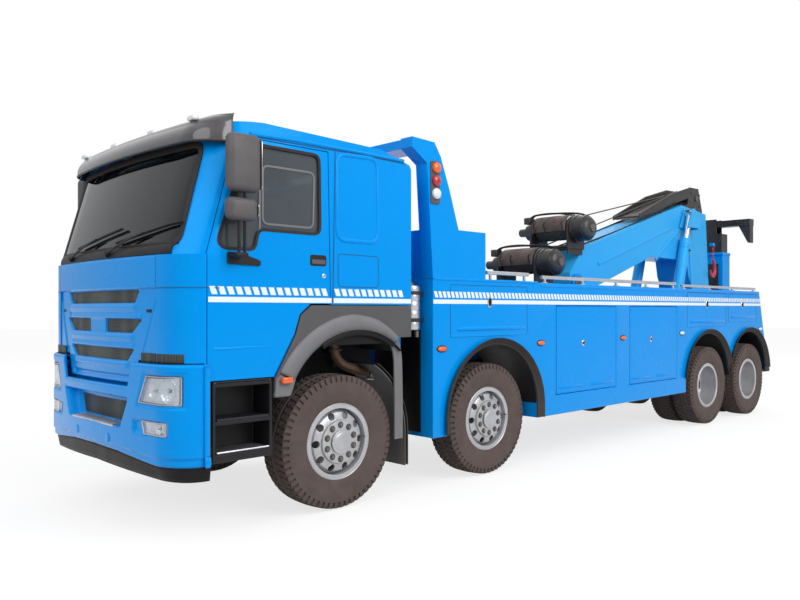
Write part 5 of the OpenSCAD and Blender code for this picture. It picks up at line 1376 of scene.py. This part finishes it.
class OBJECT_OT_wheels(bpy.types.Operator):
    """Finish the wheels and add nuts, hub caps, valves and rim lips."""

    bl_idname = "object.tow_wheels"
    bl_label = "Wheels"

    def execute(self, context):
        a = np.arange(10) * 2 * math.pi / 10 + math.pi / 10
        for k, label in ((0, "wheel_1"), (1, "wheel_2"), (2, "wheels_3"), (3, "wheels_4")):
            for name, side in SIDES:
                node_name = f"{name}_{label}"
                body = body_of(node_name)
                dressed(node_name, silver(), 0.003 if k < 2 else 0, angle=32)
                track = 1.011 if k < 2 else 0.915
                face = track + (0.150 if k < 2 else 0.022)
                tall = 0.018 if k < 2 else 0.047
                x, z = AXLES[k], HUB_Z
                ring = np.stack([x + 0.1375 * np.cos(a), np.full(10, -face), z + 0.1375 * np.sin(a)], -1)
                nut = lathe([(0, 0), (0, 0.021), (0.003, 0.021), (0.004, 0.016), (tall - 0.004, 0.016), (tall, 0.011), (tall, 0)],
                            (0, 0, 0), "y", 6, -1)
                cup = lathe([(-0.002, 0), (-0.002, 0.027), (0.0012, 0.027), (0.0012, 0)], (0, 0, 0), "y", 20, -1)
                make(node_name + "_nuts", body, steel(), on_side(side, moved(nut, ring)))
                make(node_name + "_nut_seats", body, chassis_black(), on_side(side, moved(cup, ring)))
                cap_y = track + (0.165 if k < 2 else 0.15)
                cap_r = 0.095 if k < 2 else 0.092
                if k < 2:
                    plate = lathe([(0.10, 0), (0.10, 0.179), (0.141, 0.176), (0.148, 0.171), (0.150, 0.163), (0.150, 0)], (x, -track, z), "y", 56, -1)
                    make(node_name + "_cover", body, silver(), on_side(side, plate))
                cap = lathe([(-0.004, 0), (-0.004, cap_r * 0.98), (0.001, cap_r * 0.98), (0.004, cap_r * 0.9), (0.002, cap_r * 0.78),
                             (0.006, cap_r * 0.7), (0.008, cap_r * 0.3), (0.008, 0)], (x, -cap_y, z), "y", 40, -1)
                make(node_name + "_cap", body, silver() if k < 2 else chassis_black(), on_side(side, cap))
                lip = lathe([(0.0, 0.2995), (0.004, 0.3045), (0.0, 0.3095), (-0.004, 0.3045)],
                            (x, -(track if k < 2 else track + 0.175) - 0.127, z), "y", 72, -1)
                make(node_name + "_rim_lip", body, silver(), on_side(side, lip))
                valve = tube([(x + 0.24, -face + 0.02, z + 0.02), (x + 0.225, -face - 0.035, z + 0.02)], 0.005, 8)
                make(node_name + "_valve", body, steel(), on_side(side, valve))
        for n in ("left_knuckle_1", "right_knuckle_1", "left_knuckle_2", "right_knuckle_2"):
            dressed(n, chassis_black(), 0.004)
        return {"FINISHED"}


# ---------------------------------------------------------------- bodies
class OBJECT_OT_bodies(bpy.types.Operator):
    """Finish the locker bodies, their doors, hatches, locks, latches, lamps and arch rubbers."""

    bl_idname = "object.tow_bodies"
    bl_label = "Locker bodies"

    def execute(self, context):
        dressed("locker_bodies", paint(), 0.007)
        for name, side in SIDES:
            for k, x0 in ((1, 2.77), (2, 4.24)):
                node_name = f"{name}_locker_door_{k}"
                body = body_of(node_name)
                dressed(node_name, paint(), 0.004)
                self.door_detail(f"{name}_locker_{k}", body, side, x0)
        self.hatches()
        self.rubbers()
        self.lamps()
        return {"FINISHED"}

    @staticmethod
    def door_detail(label, body, side, x0):
        y = -BODY_Y
        ribs = []
        for a, b in ((0.04, 0.50), (0.64, 1.11)):
            path = [(x0 + a, y, 0.775), (x0 + a + 0.02, y, 0.775), (x0 + b - 0.02, y, 0.775), (x0 + b, y, 0.775)]
            ribs.append(sweep(circle(0.016, 10, 0.6), path, (0, 1, 0), scale=[0.3, 1, 1, 0.3]))
        ribs.append(sweep(circle(0.008, 8, 0.6), [(x0 + 0.01, y, 0.722), (x0 + 1.16, y, 0.722)], (0, 1, 0)))
        make(label + "_ribs", body, paint(), on_side(side, *ribs))
        ring = lathe([(0, 0), (0, 0.034), (0.006, 0.034), (0.009, 0.028), (0.003, 0.025), (0.003, 0)], (x0 + 0.497, y, 1.238), "y", 30, -1)
        make(label + "_lock_ring", body, chrome(), on_side(side, ring))
        knob = prism(rounded_outline([(x0 + 0.478, 1.225), (x0 + 0.516, 1.225), (x0 + 0.516, 1.251), (x0 + 0.478, 1.251)], 0.006),
                     y - 0.011, y - 0.002, "y", 0.002)
        make(label + "_lock_knob", body, black_plastic(), on_side(side, knob))
        bead = sweep(circle(0.004, 6), [(x0 + 0.02, y - 0.001, 1.641), (x0 + 1.15, y - 0.001, 1.641)], (0, 1, 0))
        make(label + "_bead", body, paint(), on_side(side, bead))

    @staticmethod
    def hatches():
        y = -BODY_Y
        seams, lips, plates, knobs = [], [], [], []
        for x0, x1, low in ((1.17, 2.28, 1.362), (5.69, 6.87, 1.378), (6.95, 7.93, 1.43)):
            seams.append(outline_band(rounded_outline([(x0, low), (x1, low), (x1, 1.835), (x0, 1.835)], 0.01, 2), 0.006, y - 0.001, y + 0.001))
            lips.append(sweep(circle(0.018, 10, 0.6), [(x0 + 0.09, y, low + 0.065), (x0 + 0.11, y, low + 0.066), (x1 - 0.05, y, low + 0.066), (x1 - 0.02, y, low + 0.065)],
                              (0, 1, 0), scale=[0.3, 1, 1, 0.3]))
            lips.append(sweep(circle(0.010, 8, 0.6), [(x0, y, low), (x1, y, low)], (0, 1, 0)))
            mid = (x0 + x1) / 2 - 0.02
            oval = np.array([(mid, 1.68)]) + circle(0.032, 24) * np.array([1, 1.7])
            plates.append(prism(oval, y - 0.008, y + 0.001, "y", 0.003))
            knobs.append(prism(np.array([(mid, 1.68)]) + circle(0.02, 20) * np.array([1, 1.6]), y - 0.0095, y - 0.006, "y", 0.001))
            knobs.append(tube([(mid, y - 0.016, 1.645), (mid, y - 0.016, 1.715)], 0.007, 8, (0, 1, 0)))
        make("hatch_seams", "truck", seam_blue(), both(*seams), shell=False)
        make("hatch_lips", "truck", paint(), both(*lips))
        make("hatch_latch_plates", "truck", chrome(), both(*plates))
        make("hatch_latch_handles", "truck", black_plastic(), both(*knobs))
        cap = [sweep(circle(0.012, 8, 0.7), [(0.96, y, 1.885), (2.45, y, 1.885)], (0, 1, 0)),
               sweep(circle(0.012, 8, 0.7), [(2.5, y, 1.855), (8.0, y, 1.855)], (0, 1, 0))]
        make("body_top_beads", "truck", paint(), both(*cap))

    @staticmethod
    def rubbers():
        beads, bands, wells = [], [], []
        for k, lead in ((1, 0.0), (2, 0.04), (3, 0.04)):
            cx = AXLES[k] - lead
            start, stop = (-12, 192) if k == 1 else (6, 174)
            path = arc_points(cx, ARCH_Z, ARCH_R + 0.004, start, stop, -BODY_Y, 60)
            if k == 1:
                path = arc_points(cx, ARCH_Z, ARCH_R + 0.004, 0, 180, -BODY_Y, 60)
                path = np.concatenate([[(cx + ARCH_R + 0.004, -BODY_Y, 0.50)], path, [(cx - ARCH_R - 0.004, -BODY_Y, 0.47)]])
            beads.append(sweep(rounded_rect(0.022, 0.020, 0.006, 2), path, (0, 1, 0)))
            bands.append(sweep([(-0.052, -0.052), (0.0, -0.006), (0.0, 0.006), (-0.056, -0.040)], path, (0, 1, 0)))
            well = arc_points(cx, ARCH_Z, ARCH_R - 0.004, 2, 178, -0.94, 50)
            wells.append(sweep([(-0.004, -0.295), (0.0, -0.295), (0.0, 0.295), (-0.004, 0.295)], well, (0, 1, 0)))
        make("arch_beads", "truck", trim_rubber(), both(*beads))
        make("arch_bands", "truck", trim_rubber(), both(*bands))
        make("arch_liners", "truck", black_plastic(), both(*wells))
        foot = prism([(8.262, 0.62), (8.44, 0.62), (8.43, 0.70), (8.36, 0.70)], -BODY_Y - 0.01, -0.66, "y", 0.004)
        make("rear_rubber_feet", "truck", trim_rubber(), both(foot))

    @staticmethod
    def lamps():
        y = -BODY_Y
        amber_set, white_set, bases = [], [], []
        for x, z, kind in ((1.062, 1.254, 1), (2.507, 1.261, 1), (4.09, 1.270, 0), (5.542, 1.295, 0), (8.082, 1.300, 0)):
            dome = lathe([(0, 0), (0, 0.05), (0.006, 0.05), (0.016, 0.038), (0.021, 0.02), (0.022, 0)], (0, 0, 0), "y", 28, -1)
            v, f = dome
            v = v * np.array([1.15, 1, 0.5]) + np.array([x, y - 0.003, z])
            (amber_set if kind else white_set).append((v, f))
            base = lathe([(0, 0), (0, 0.06), (0.004, 0.058), (0.004, 0)], (0, 0, 0), "y", 28, -1)
            bases.append((base[0] * np.array([1.15, 1, 0.55]) + np.array([x, y, z]), base[1]))
        make("side_markers_amber", "truck", amber(), both(*amber_set, *white_set[:1]))
        make("side_markers_pale", "truck", white_lens(), both(*white_set[1:]))
        make("side_marker_bases", "truck", black_plastic(), both(*bases))


class OBJECT_OT_deck(bpy.types.Operator):
    """Finish the deck, its plate, the arch behind the cab and its lamps, and the hand rails."""

    bl_idname = "object.tow_deck"
    bl_label = "Deck, arch and rails"

    def execute(self, context):
        dressed("body_deck", paint(), 0.004)
        dressed("gantry", paint(), 0.02)
        dressed("body_rails", bright_tube(), 0.0, angle=40)
        plates = [rounded_box((1.0, -0.62, 1.8352), (4.25, 0.62, 1.8402), 0.001), both(rounded_box((5.21, -0.625, 1.8352), (6.8, -0.36, 1.8402), 0.001))]
        make("deck_tread", "truck", tread_plate(), *plates)
        feet = []
        for x0, x1 in ((1.70, 2.34), (2.56, 5.43), (5.60, 7.97)):
            n = math.ceil((x1 - x0) / 0.9)
            for x in x0 + 0.06 + (x1 - x0 - 0.12) * np.arange(n + 1) / n:
                feet.append(lathe([(0, 0), (0, 0.036), (0.006, 0.036), (0.01, 0.02), (0.01, 0)], (x, -1.21, 1.8852), "z", 20))
        make("rail_feet", "truck", bright_tube(), both(*feet))
        y = -BODY_Y
        back = prism(rounded_outline([(0.915, 2.55), (1.03, 2.55), (1.03, 2.93), (0.915, 2.93)], 0.02), y - 0.012, y + 0.001, "y", 0.004)
        make("arch_lamp_plates", "truck", mirror_shell(), both(back))
        for label, z, mat in (("amber", 2.87, amber()), ("red", 2.755, red_lens()), ("white", 2.64, white_lens())):
            dome = lathe([(0.010, 0), (0.010, 0.048), (0.030, 0.048), (0.040, 0.040), (0.047, 0.02), (0.048, 0)], (0.975, y, z), "y", 30, -1)
            make("arch_lamps_" + label, "truck", mat, both(dome))
        return {"FINISHED"}


# ---------------------------------------------------------------- boom and winches
FOOT = np.array([4.5, 1.96])
LEG_X = 8.1
SLOPE = math.radians(17.7)
AXIS = np.array([6.16, 2.615])


def boom_point(along, up, y):
    """A point on the boom: along its sliding axis, up square to it, across."""
    return np.array([AXIS[0] + along * math.cos(SLOPE) - up * math.sin(SLOPE), y, AXIS[1] + along * math.sin(SLOPE) + up * math.cos(SLOPE)])


class OBJECT_OT_boom(bpy.types.Operator):
    """Finish the boom, its sliding section and head, with stiffeners, pipes, guards, pins and bolts."""

    bl_idname = "object.tow_boom"
    bl_label = "Boom"

    def execute(self, context):
        dressed("boom", boom_paint_with_painted_sky_reflection(), 0.008)
        dressed("boom_extension", winch_black(), 0.006)
        rails = [sweep(rounded_rect(0.03, 0.024, 0.006, 2), [boom_point(-1.25, 0.245, -0.27), boom_point(0.95, 0.245, -0.27)], (0, 0, 1)),
                 sweep(rounded_rect(0.016, 0.05, 0.005, 2), [boom_point(-1.2, -0.02, -0.284), boom_point(1.0, -0.02, -0.284)], (0, 0, 1))]
        rails.append(sweep(rounded_rect(0.016, 0.06, 0.005, 2), [(6.55, -0.284, 2.36), (7.45, -0.284, 2.98)], (0, 0, 1)))
        rails.append(sweep(rounded_rect(0.016, 0.06, 0.005, 2), [(7.72, -0.284, 1.95), (7.62, -0.284, 3.0)], (1, 0, 0)))
        make("boom_stiffeners", "boom", boom_paint_with_painted_sky_reflection(), both(*rails))
        pipes = [tube(spline([boom_point(-1.35, 0.30, -0.20), boom_point(-0.4, 0.275, -0.21), boom_point(0.9, 0.275, -0.21), (7.3, -0.24, 3.3)], 40), 0.011, 8)]
        make("boom_pipes", "boom", black_plastic(), both(*pipes))
        clips = [rounded_box(boom_point(a, 0.25, -0.23) - 0.018, boom_point(a, 0.25, -0.19) + 0.018, 0.004) for a in (-0.9, -0.3, 0.3, 0.8)]
        make("boom_pipe_clips", "boom", steel(), both(*clips))
        guard = [tube([(6.2, -0.225, 3.02), (7.15, -0.225, 3.415), (7.8, -0.225, 3.59)], 0.014, 8),
                 tube([(6.2, -0.225, 2.99), (6.2, 0.225, 2.99)], 0.014, 8)]
        make("boom_guard_tubes", "boom_extension", winch_black(), both(guard[0]), guard[1])
        fill = prism([(6.20, 2.965), (6.31, 3.025), (6.85, 3.215), (7.36, 3.38), (7.80, 3.53), (7.80, 3.44)], -0.195, 0.195, "y", 0.003)
        make("boom_guard_plate", "boom_extension", winch_black(), fill)
        pins = [lathe([(0, 0), (0, 0.05), (0.014, 0.05), (0.018, 0.04), (0.018, 0)], (8.01, -0.22, 3.44), "y", 24, -1)]
        make("boom_head_pins", "boom_extension", steel(), both(*pins))
        bolts_set = bolts([(x, -0.221, z) for x, z in ((7.8, 3.38), (7.85, 3.52), (8.1, 3.5), (8.12, 3.32), (7.95, 3.28))], 0.016, 0.014)
        make("boom_head_bolts", "boom_extension", steel(), both(bolts_set))
        foot = lathe([(0, 0), (0, 0.085), (0.012, 0.085), (0.018, 0.07), (0.018, 0)], (FOOT[0], -0.326, FOOT[1]), "y", 30, -1)
        make("boom_foot_caps", "truck", steel(), both(foot))
        return {"FINISHED"}


class OBJECT_OT_cylinders(bpy.types.Operator):
    """Finish the lift cylinders: painted barrels with their rings, and chrome rods."""

    bl_idname = "object.tow_cylinders"
    bl_label = "Lift cylinders"

    def execute(self, context):
        dressed("lift_barrels", boom_paint_with_painted_sky_reflection(), 0.004)
        dressed("lift_rods", chrome(), 0.002)
        base, eye = np.array([6.95, 1.5]), np.array([7.47, 3.13])
        way = (eye - base) / np.linalg.norm(eye - base)
        rings, ports = [], []
        for s in (0.11, 0.16, 1.12, 1.17):
            a, b = base + way * s, base + way * (s + 0.022)
            rings.append(tube([(a[0], -0.375, a[1]), (b[0], -0.375, b[1])], 0.09, 24, (0, 1, 0)))
        for s in (0.2, 1.08):
            p = base + way * s
            ports.append(tube([(p[0], -0.46, p[1]), (p[0], -0.49, p[1])], 0.016, 10, (0, 0, 1)))
        make("lift_barrel_rings", "lift_barrels", boom_paint_with_painted_sky_reflection(), both(*rings))
        make("lift_barrel_ports", "lift_barrels", steel(), both(*ports))
        return {"FINISHED"}


def rope_coil(c, y0, y1, r, rope, layers=1):
    """Rope wound on a drum: a helix of radius r about y, one turn each rope thickness."""
    turns = (y1 - y0) / (rope * 1.02)
    t = np.linspace(0, 1, int(turns * 26))
    a = 2 * math.pi * turns * t
    return np.stack([c[0] + r * np.cos(a), y0 + (y1 - y0) * t, c[1] + r * np.sin(a)], -1)


class OBJECT_OT_winches(bpy.types.Operator):
    """Finish both winches: frames, gear cases, wound rope, motors, hoses and lead ropes."""

    bl_idname = "object.tow_winches"
    bl_label = "Winches"

    def execute(self, context):
        for label, body, drum_body, c in (("deck_winch", "truck", "deck_winch_drum", (3.78, 2.19)), ("boom_winch", "boom", "boom_winch_drum", (4.46, 2.66))):
            dressed(label, winch_black(), 0.006)
            dressed(label + "_drum", winch_black(), 0.003, name=label + "_drum_core")
            coil = rope_coil(c, -0.262, 0.262, 0.1285, 0.018)
            make(label + "_rope_coil", drum_body, self.rope(), tube(coil, 0.0088, 7, (0, 1, 0)), angle=60)
            x, z = c
            case = [lathe([(0, 0), (0, 0.175), (0.02, 0.18), (0.05, 0.178), (0.052, 0.168), (0.14, 0.166), (0.20, 0.152), (0.235, 0.12), (0.25, 0.07), (0.252, 0)],
                          (x, -0.318, z), "y", 48, -1),
                    lathe([(0, 0), (0, 0.13), (0.03, 0.13), (0.032, 0.115), (0.12, 0.112), (0.14, 0.07), (0.142, 0)], (x, 0.318, z), "y", 40, 1)]
            make(label + "_gear_cases", body, winch_black(), *case)
            a = np.arange(12) * math.pi / 6
            ring = np.stack([x + 0.16 * np.cos(a), np.full(12, -0.372), z + 0.16 * np.sin(a)], -1)
            cap = lathe([(0, 0), (0, 0.05), (0.012, 0.048), (0.014, 0)], (x, -0.5695, z), "y", 30, -1)
            make(label + "_case_bolts", body, steel(), bolts(ring, 0.010, 0.010), cap)
            cover = self.cover(x, z)
            make(label + "_rope_cover", body, self.cover_paint(), cover, shell=False, solid=0.006, angle=50)
            motor = [tube([(x - 0.05, 0.44, z), (x - 0.05, 0.57, z)], [0.06, 0.055], 20, (0, 0, 1)),
                     rounded_box((x - 0.17, 0.33, z + 0.1), (x - 0.05, 0.43, z + 0.19), 0.012)]
            levers = [tube([(x - 0.19, y, z - 0.03), (x - 0.23, y, z + 0.06), (x - 0.24, y - 0.03, z + 0.1)], 0.010, 8) for y in (-0.24, 0.05, 0.22)]
            rollers = [tube([(x + 0.2, -0.26, z + 0.02), (x + 0.2, 0.26, z + 0.02)], 0.022, 16, (1, 0, 0)),
                       tube([(x + 0.2, -0.26, z + 0.075), (x + 0.2, 0.26, z + 0.075)], 0.022, 16, (1, 0, 0)),
                       rounded_box((x + 0.15, -0.29, z - 0.03), (x + 0.23, -0.262, z + 0.12), 0.008),
                       rounded_box((x + 0.15, 0.262, z - 0.03), (x + 0.23, 0.29, z + 0.12), 0.008)]
            make(label + "_fittings", body, winch_black(), *motor, *levers, *rollers)
            self.hose(label + "_hose_1", body, 0.013, [(x - 0.11, 0.36, z + 0.185), (x - 0.12, 0.24, z + 0.215), (x - 0.02, 0.0, z + 0.228),
                                                       (x + 0.12, -0.28, z + 0.215), (x + 0.17, -0.385, z + 0.15), (x + 0.175, -0.40, z + 0.02)])
            self.hose(label + "_hose_2", body, 0.011, [(x - 0.07, 0.38, z + 0.185), (x - 0.04, 0.26, z + 0.232), (x + 0.06, 0.0, z + 0.236),
                                                       (x + 0.20, -0.27, z + 0.17), (x + 0.225, -0.37, z + 0.08), (x + 0.225, -0.39, z - 0.05)])
        self.lead_ropes()
        return {"FINISHED"}

    @staticmethod
    def rope():
        return material("wire_rope", srgb(118, 110, 102), srgb(84, 78, 72), 0.2, 60, (0.4, 0.6), metal=0.6, grain=(900.0, 0.5))

    @staticmethod
    def cover_paint():
        return material("cover_paint", srgb(96, 82, 76), srgb(70, 60, 56), 0.25, 8, (0.4, 0.6), metal=0.3, grain=(200.0, 0.2))

    @staticmethod
    def cover(x, z):
        """A half-round guard over the drum: an arc about y from the front to the top, as wide as the drum."""
        a = np.radians(np.linspace(190, 78, 30))
        y = np.linspace(-0.275, 0.275, 8)
        ga, gy = np.meshgrid(a, y, indexing="ij")
        r = 0.19 + 0.004 * np.cos(gy * 40)
        return grid(np.stack([x + r * np.cos(ga), gy, z + r * np.sin(ga)], -1))

    @staticmethod
    def hose(name, body, r, points):
        """A free hydraulic hose from the motor's block to the gear case."""
        path = spline(points, 60)
        obj = make(name, body, black_plastic(), tube(path, r, 10))

    def lead_ropes(self):
        """Taut wire rope from each drum over the boom to the sheaves in its head."""
        for name, first, second, start, stop, y in (
                ("boom_winch_lead", "boom", "boom_extension", (4.50, 2.79), (7.93, 3.585), -0.09),
                ("deck_winch_lead", "truck", "boom", (3.84, 2.31), (5.0, 2.672), 0.09),
                ("boom_top_lead", "boom", "boom_extension", (5.0, 2.672), (7.93, 3.585), 0.09)):
            a, b = np.array([start[0], y, start[1]]), np.array([stop[0], y, stop[1]])
            t = np.linspace(0, 1, 40)[:, None]
            obj = make(name, None, self.rope(), tube(a * (1 - t) + b * t, 0.009, 8))
            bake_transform(obj)
        sheave = lathe([(-0.02, 0), (-0.02, 0.06), (-0.008, 0.05), (0.008, 0.05), (0.02, 0.06), (0.02, 0)], (5.0, 0.09, 2.612), "y", 28)
        cheeks = [prism([(4.94, 2.49), (5.06, 2.53), (5.03, 2.64), (4.97, 2.64)], y, y + 0.008) for y in (0.06, 0.112)]
        make("boom_rope_guide", "boom", winch_black(), sheave, *cheeks)


class OBJECT_OT_underlift(bpy.types.Operator):
    """Finish the folded underlift: arm, inner section, crossbar, hook and chain."""

    bl_idname = "object.tow_underlift"
    bl_label = "Underlift"

    def execute(self, context):
        dressed("underlift_arm", paint(), 0.010)
        dressed("underlift_extension", winch_black(), 0.006)
        dressed("crossbar", winch_black(), 0.008)
        collar = [sweep(rounded_rect(0.03, 0.04, 0.006, 2), [(8.875, -0.275, 2.57), (9.152, -0.275, 2.57), (9.152, 0.275, 2.57), (8.875, 0.275, 2.57)], (0, 0, 1), True)]
        make("underlift_collar", "underlift_arm", paint(), *collar)
        plates = [prism([(8.86, 1.25), (8.88, 1.25), (8.88, 2.4), (8.86, 2.4)], -0.2, 0.2, "y", 0.003)]
        make("underlift_wear_plate", "underlift_arm", winch_black(), *plates)
        hook = spline([(8.39, -0.33, 2.44), (8.44, -0.33, 2.34), (8.445, -0.33, 2.23), (8.39, -0.33, 2.165), (8.31, -0.33, 2.19), (8.295, -0.33, 2.27)], 36)
        red = material("hook_red", srgb(205, 42, 74), srgb(170, 32, 60), 0.3, 14, (0.35, 0.5), grain=(300.0, 0.1), coat=0.4)
        links = []
        for i in range(5):
            p = np.array([8.40 - 0.005 * i, -0.33, 2.66 - 0.05 * i])
            a = np.arange(20) * 2 * math.pi / 20
            flat = np.stack([0.014 * np.cos(a), 0 * a, 0.032 * np.sin(a)], -1) if i % 2 else np.stack([0 * a, 0.014 * np.cos(a), 0.032 * np.sin(a)], -1)
            links.append(tube(p + flat, 0.0055, 6, (0, 1, 0) if i % 2 else (1, 0, 0), True))
        make("tow_hook", "boom", red, tube(hook, np.interp(np.linspace(0, 1, 36), [0, 0.5, 1], [0.022, 0.03, 0.012]), 10, (0, 1, 0)), *links)
        lug = [rounded_box((8.36, -0.35, 2.67), (8.42, -0.275, 2.72), 0.008)]
        make("tow_hook_lug", "boom", paint(), *lug)
        return {"FINISHED"}


class OBJECT_OT_running_gear(bpy.types.Operator):
    """Finish the frame, axles, springs, engine and shafts, with their bolts and air tanks."""

    bl_idname = "object.tow_running_gear"
    bl_label = "Frame and axles"

    def execute(self, context):
        for n, width in (("chassis_frame", 0.003), ("axles", 0.003), ("drive_line", 0.003)):
            dressed(n, chassis_black(), width)
        dressed("engine", steel(), 0.02)
        make("rail_bolts", "truck", steel(), both(bolts([(x, -0.431, z) for x in np.arange(-0.9, 8.1, 0.45) for z in (0.82, 1.0)], 0.012, 0.010)))
        tanks = [lathe([(0, 0), (0.01, 0.06), (0.03, 0.10), (0.06, 0.115), (0.64, 0.115), (0.67, 0.10), (0.69, 0.06), (0.70, 0)], (x, -0.56, 0.84), "x", 32) for x in (2.75, 3.6)]
        straps = [lathe([(0, 0.116), (0, 0.120), (0.03, 0.120), (0.03, 0.116)], (x, -0.56, 0.84), "x", 32) for x in (2.85, 3.3, 3.7, 4.15)]
        holders = [rounded_box((x, -0.47, 0.78), (x + 0.03, -0.431, 0.92), 0.004) for x in (2.85, 3.3, 3.7, 4.15)]
        make("air_tanks", "truck", chassis_black(), both(*tanks))
        make("air_tank_straps", "truck", steel(), both(*straps, *holders))
        tail = [rounded_box((8.376, -1.13, 0.535), (8.40, -0.80, 0.635), 0.01), rounded_box((8.376, -0.78, 0.535), (8.40, -0.62, 0.635), 0.01)]
        make("tail_lamps", "truck", red_lens(), both(*tail))
        clips = []
        for axle in (0.0, AXLES[1]):
            for dx in (-0.05, 0.05):
                clips.append(tube(spline([(axle + dx, -0.342, 0.50), (axle + dx, -0.342, 0.66), (axle + dx, -0.39, 0.668), (axle + dx, -0.438, 0.66), (axle + dx, -0.438, 0.50)], 16), 0.009, 8, (1, 0, 0)))
        make("spring_clips", "truck", steel(), both(*clips))
        return {"FINISHED"}


# ---------------------------------------------------------------- add-on
class TowTruckSettings(bpy.types.PropertyGroup):
    """Colours and light that a user would change."""

    paint: bpy.props.FloatVectorProperty(name="Paint", description="Body and boom paint", subtype="COLOR", size=3,
                                         min=0, max=1, default=srgb(0, 147, 234))
    trim: bpy.props.FloatVectorProperty(name="Plastic trim", description="Guards and steps", subtype="COLOR", size=3,
                                        min=0, max=1, default=srgb(74, 74, 76))
    rubber: bpy.props.FloatVectorProperty(name="Tyre rubber", description="Dusty tyre rubber", subtype="COLOR", size=3,
                                          min=0, max=1, default=srgb(96, 84, 80))
    key_power: bpy.props.FloatProperty(name="Side light", description="Power of the side light", default=1250.0, min=0,
                                       unit="POWER")
    sky_level: bpy.props.FloatProperty(name="Surround light", description="Strength of the surround on the object",
                                       default=0.92, min=0, subtype="FACTOR")


OPERATORS = [
    SCENE_OT_tow_stage, OBJECT_OT_cab_panels, OBJECT_OT_cab_doors, OBJECT_OT_stripes, OBJECT_OT_front_panel,
    OBJECT_OT_bumper, OBJECT_OT_front_lamps, OBJECT_OT_windscreen, OBJECT_OT_visor, OBJECT_OT_mirrors,
    OBJECT_OT_cab_interior, OBJECT_OT_guards, OBJECT_OT_air_system, OBJECT_OT_tyres, OBJECT_OT_wheels,
    OBJECT_OT_bodies, OBJECT_OT_deck, OBJECT_OT_boom, OBJECT_OT_cylinders, OBJECT_OT_winches,
    OBJECT_OT_underlift, OBJECT_OT_running_gear,
]


class VIEW3D_PT_tow_truck(bpy.types.Panel):
    """Lists the colours and the steps that make the truck."""

    bl_idname = "VIEW3D_PT_tow_truck"
    bl_label = "Tow truck"
    bl_space_type = "VIEW_3D"
    bl_region_type = "UI"
    bl_category = "Tow truck"

    def draw(self, context):
        for name in ("paint", "trim", "rubber", "key_power", "sky_level"):
            self.layout.prop(context.scene.tow_truck, name)
        for operator in OPERATORS:
            self.layout.operator(operator.bl_idname)


CLASSES = [TowTruckSettings, *OPERATORS, VIEW3D_PT_tow_truck]


def register():
    for cls in CLASSES:
        bpy.utils.register_class(cls)
    bpy.types.Scene.tow_truck = bpy.props.PointerProperty(type=TowTruckSettings)


def unregister():
    del bpy.types.Scene.tow_truck
    for cls in reversed(CLASSES):
        bpy.utils.unregister_class(cls)


def main():
    register()
    for operator in OPERATORS:
        family, name = operator.bl_idname.split(".")
        getattr(getattr(bpy.ops, family), name)()


if __name__ == "__main__":
    main()
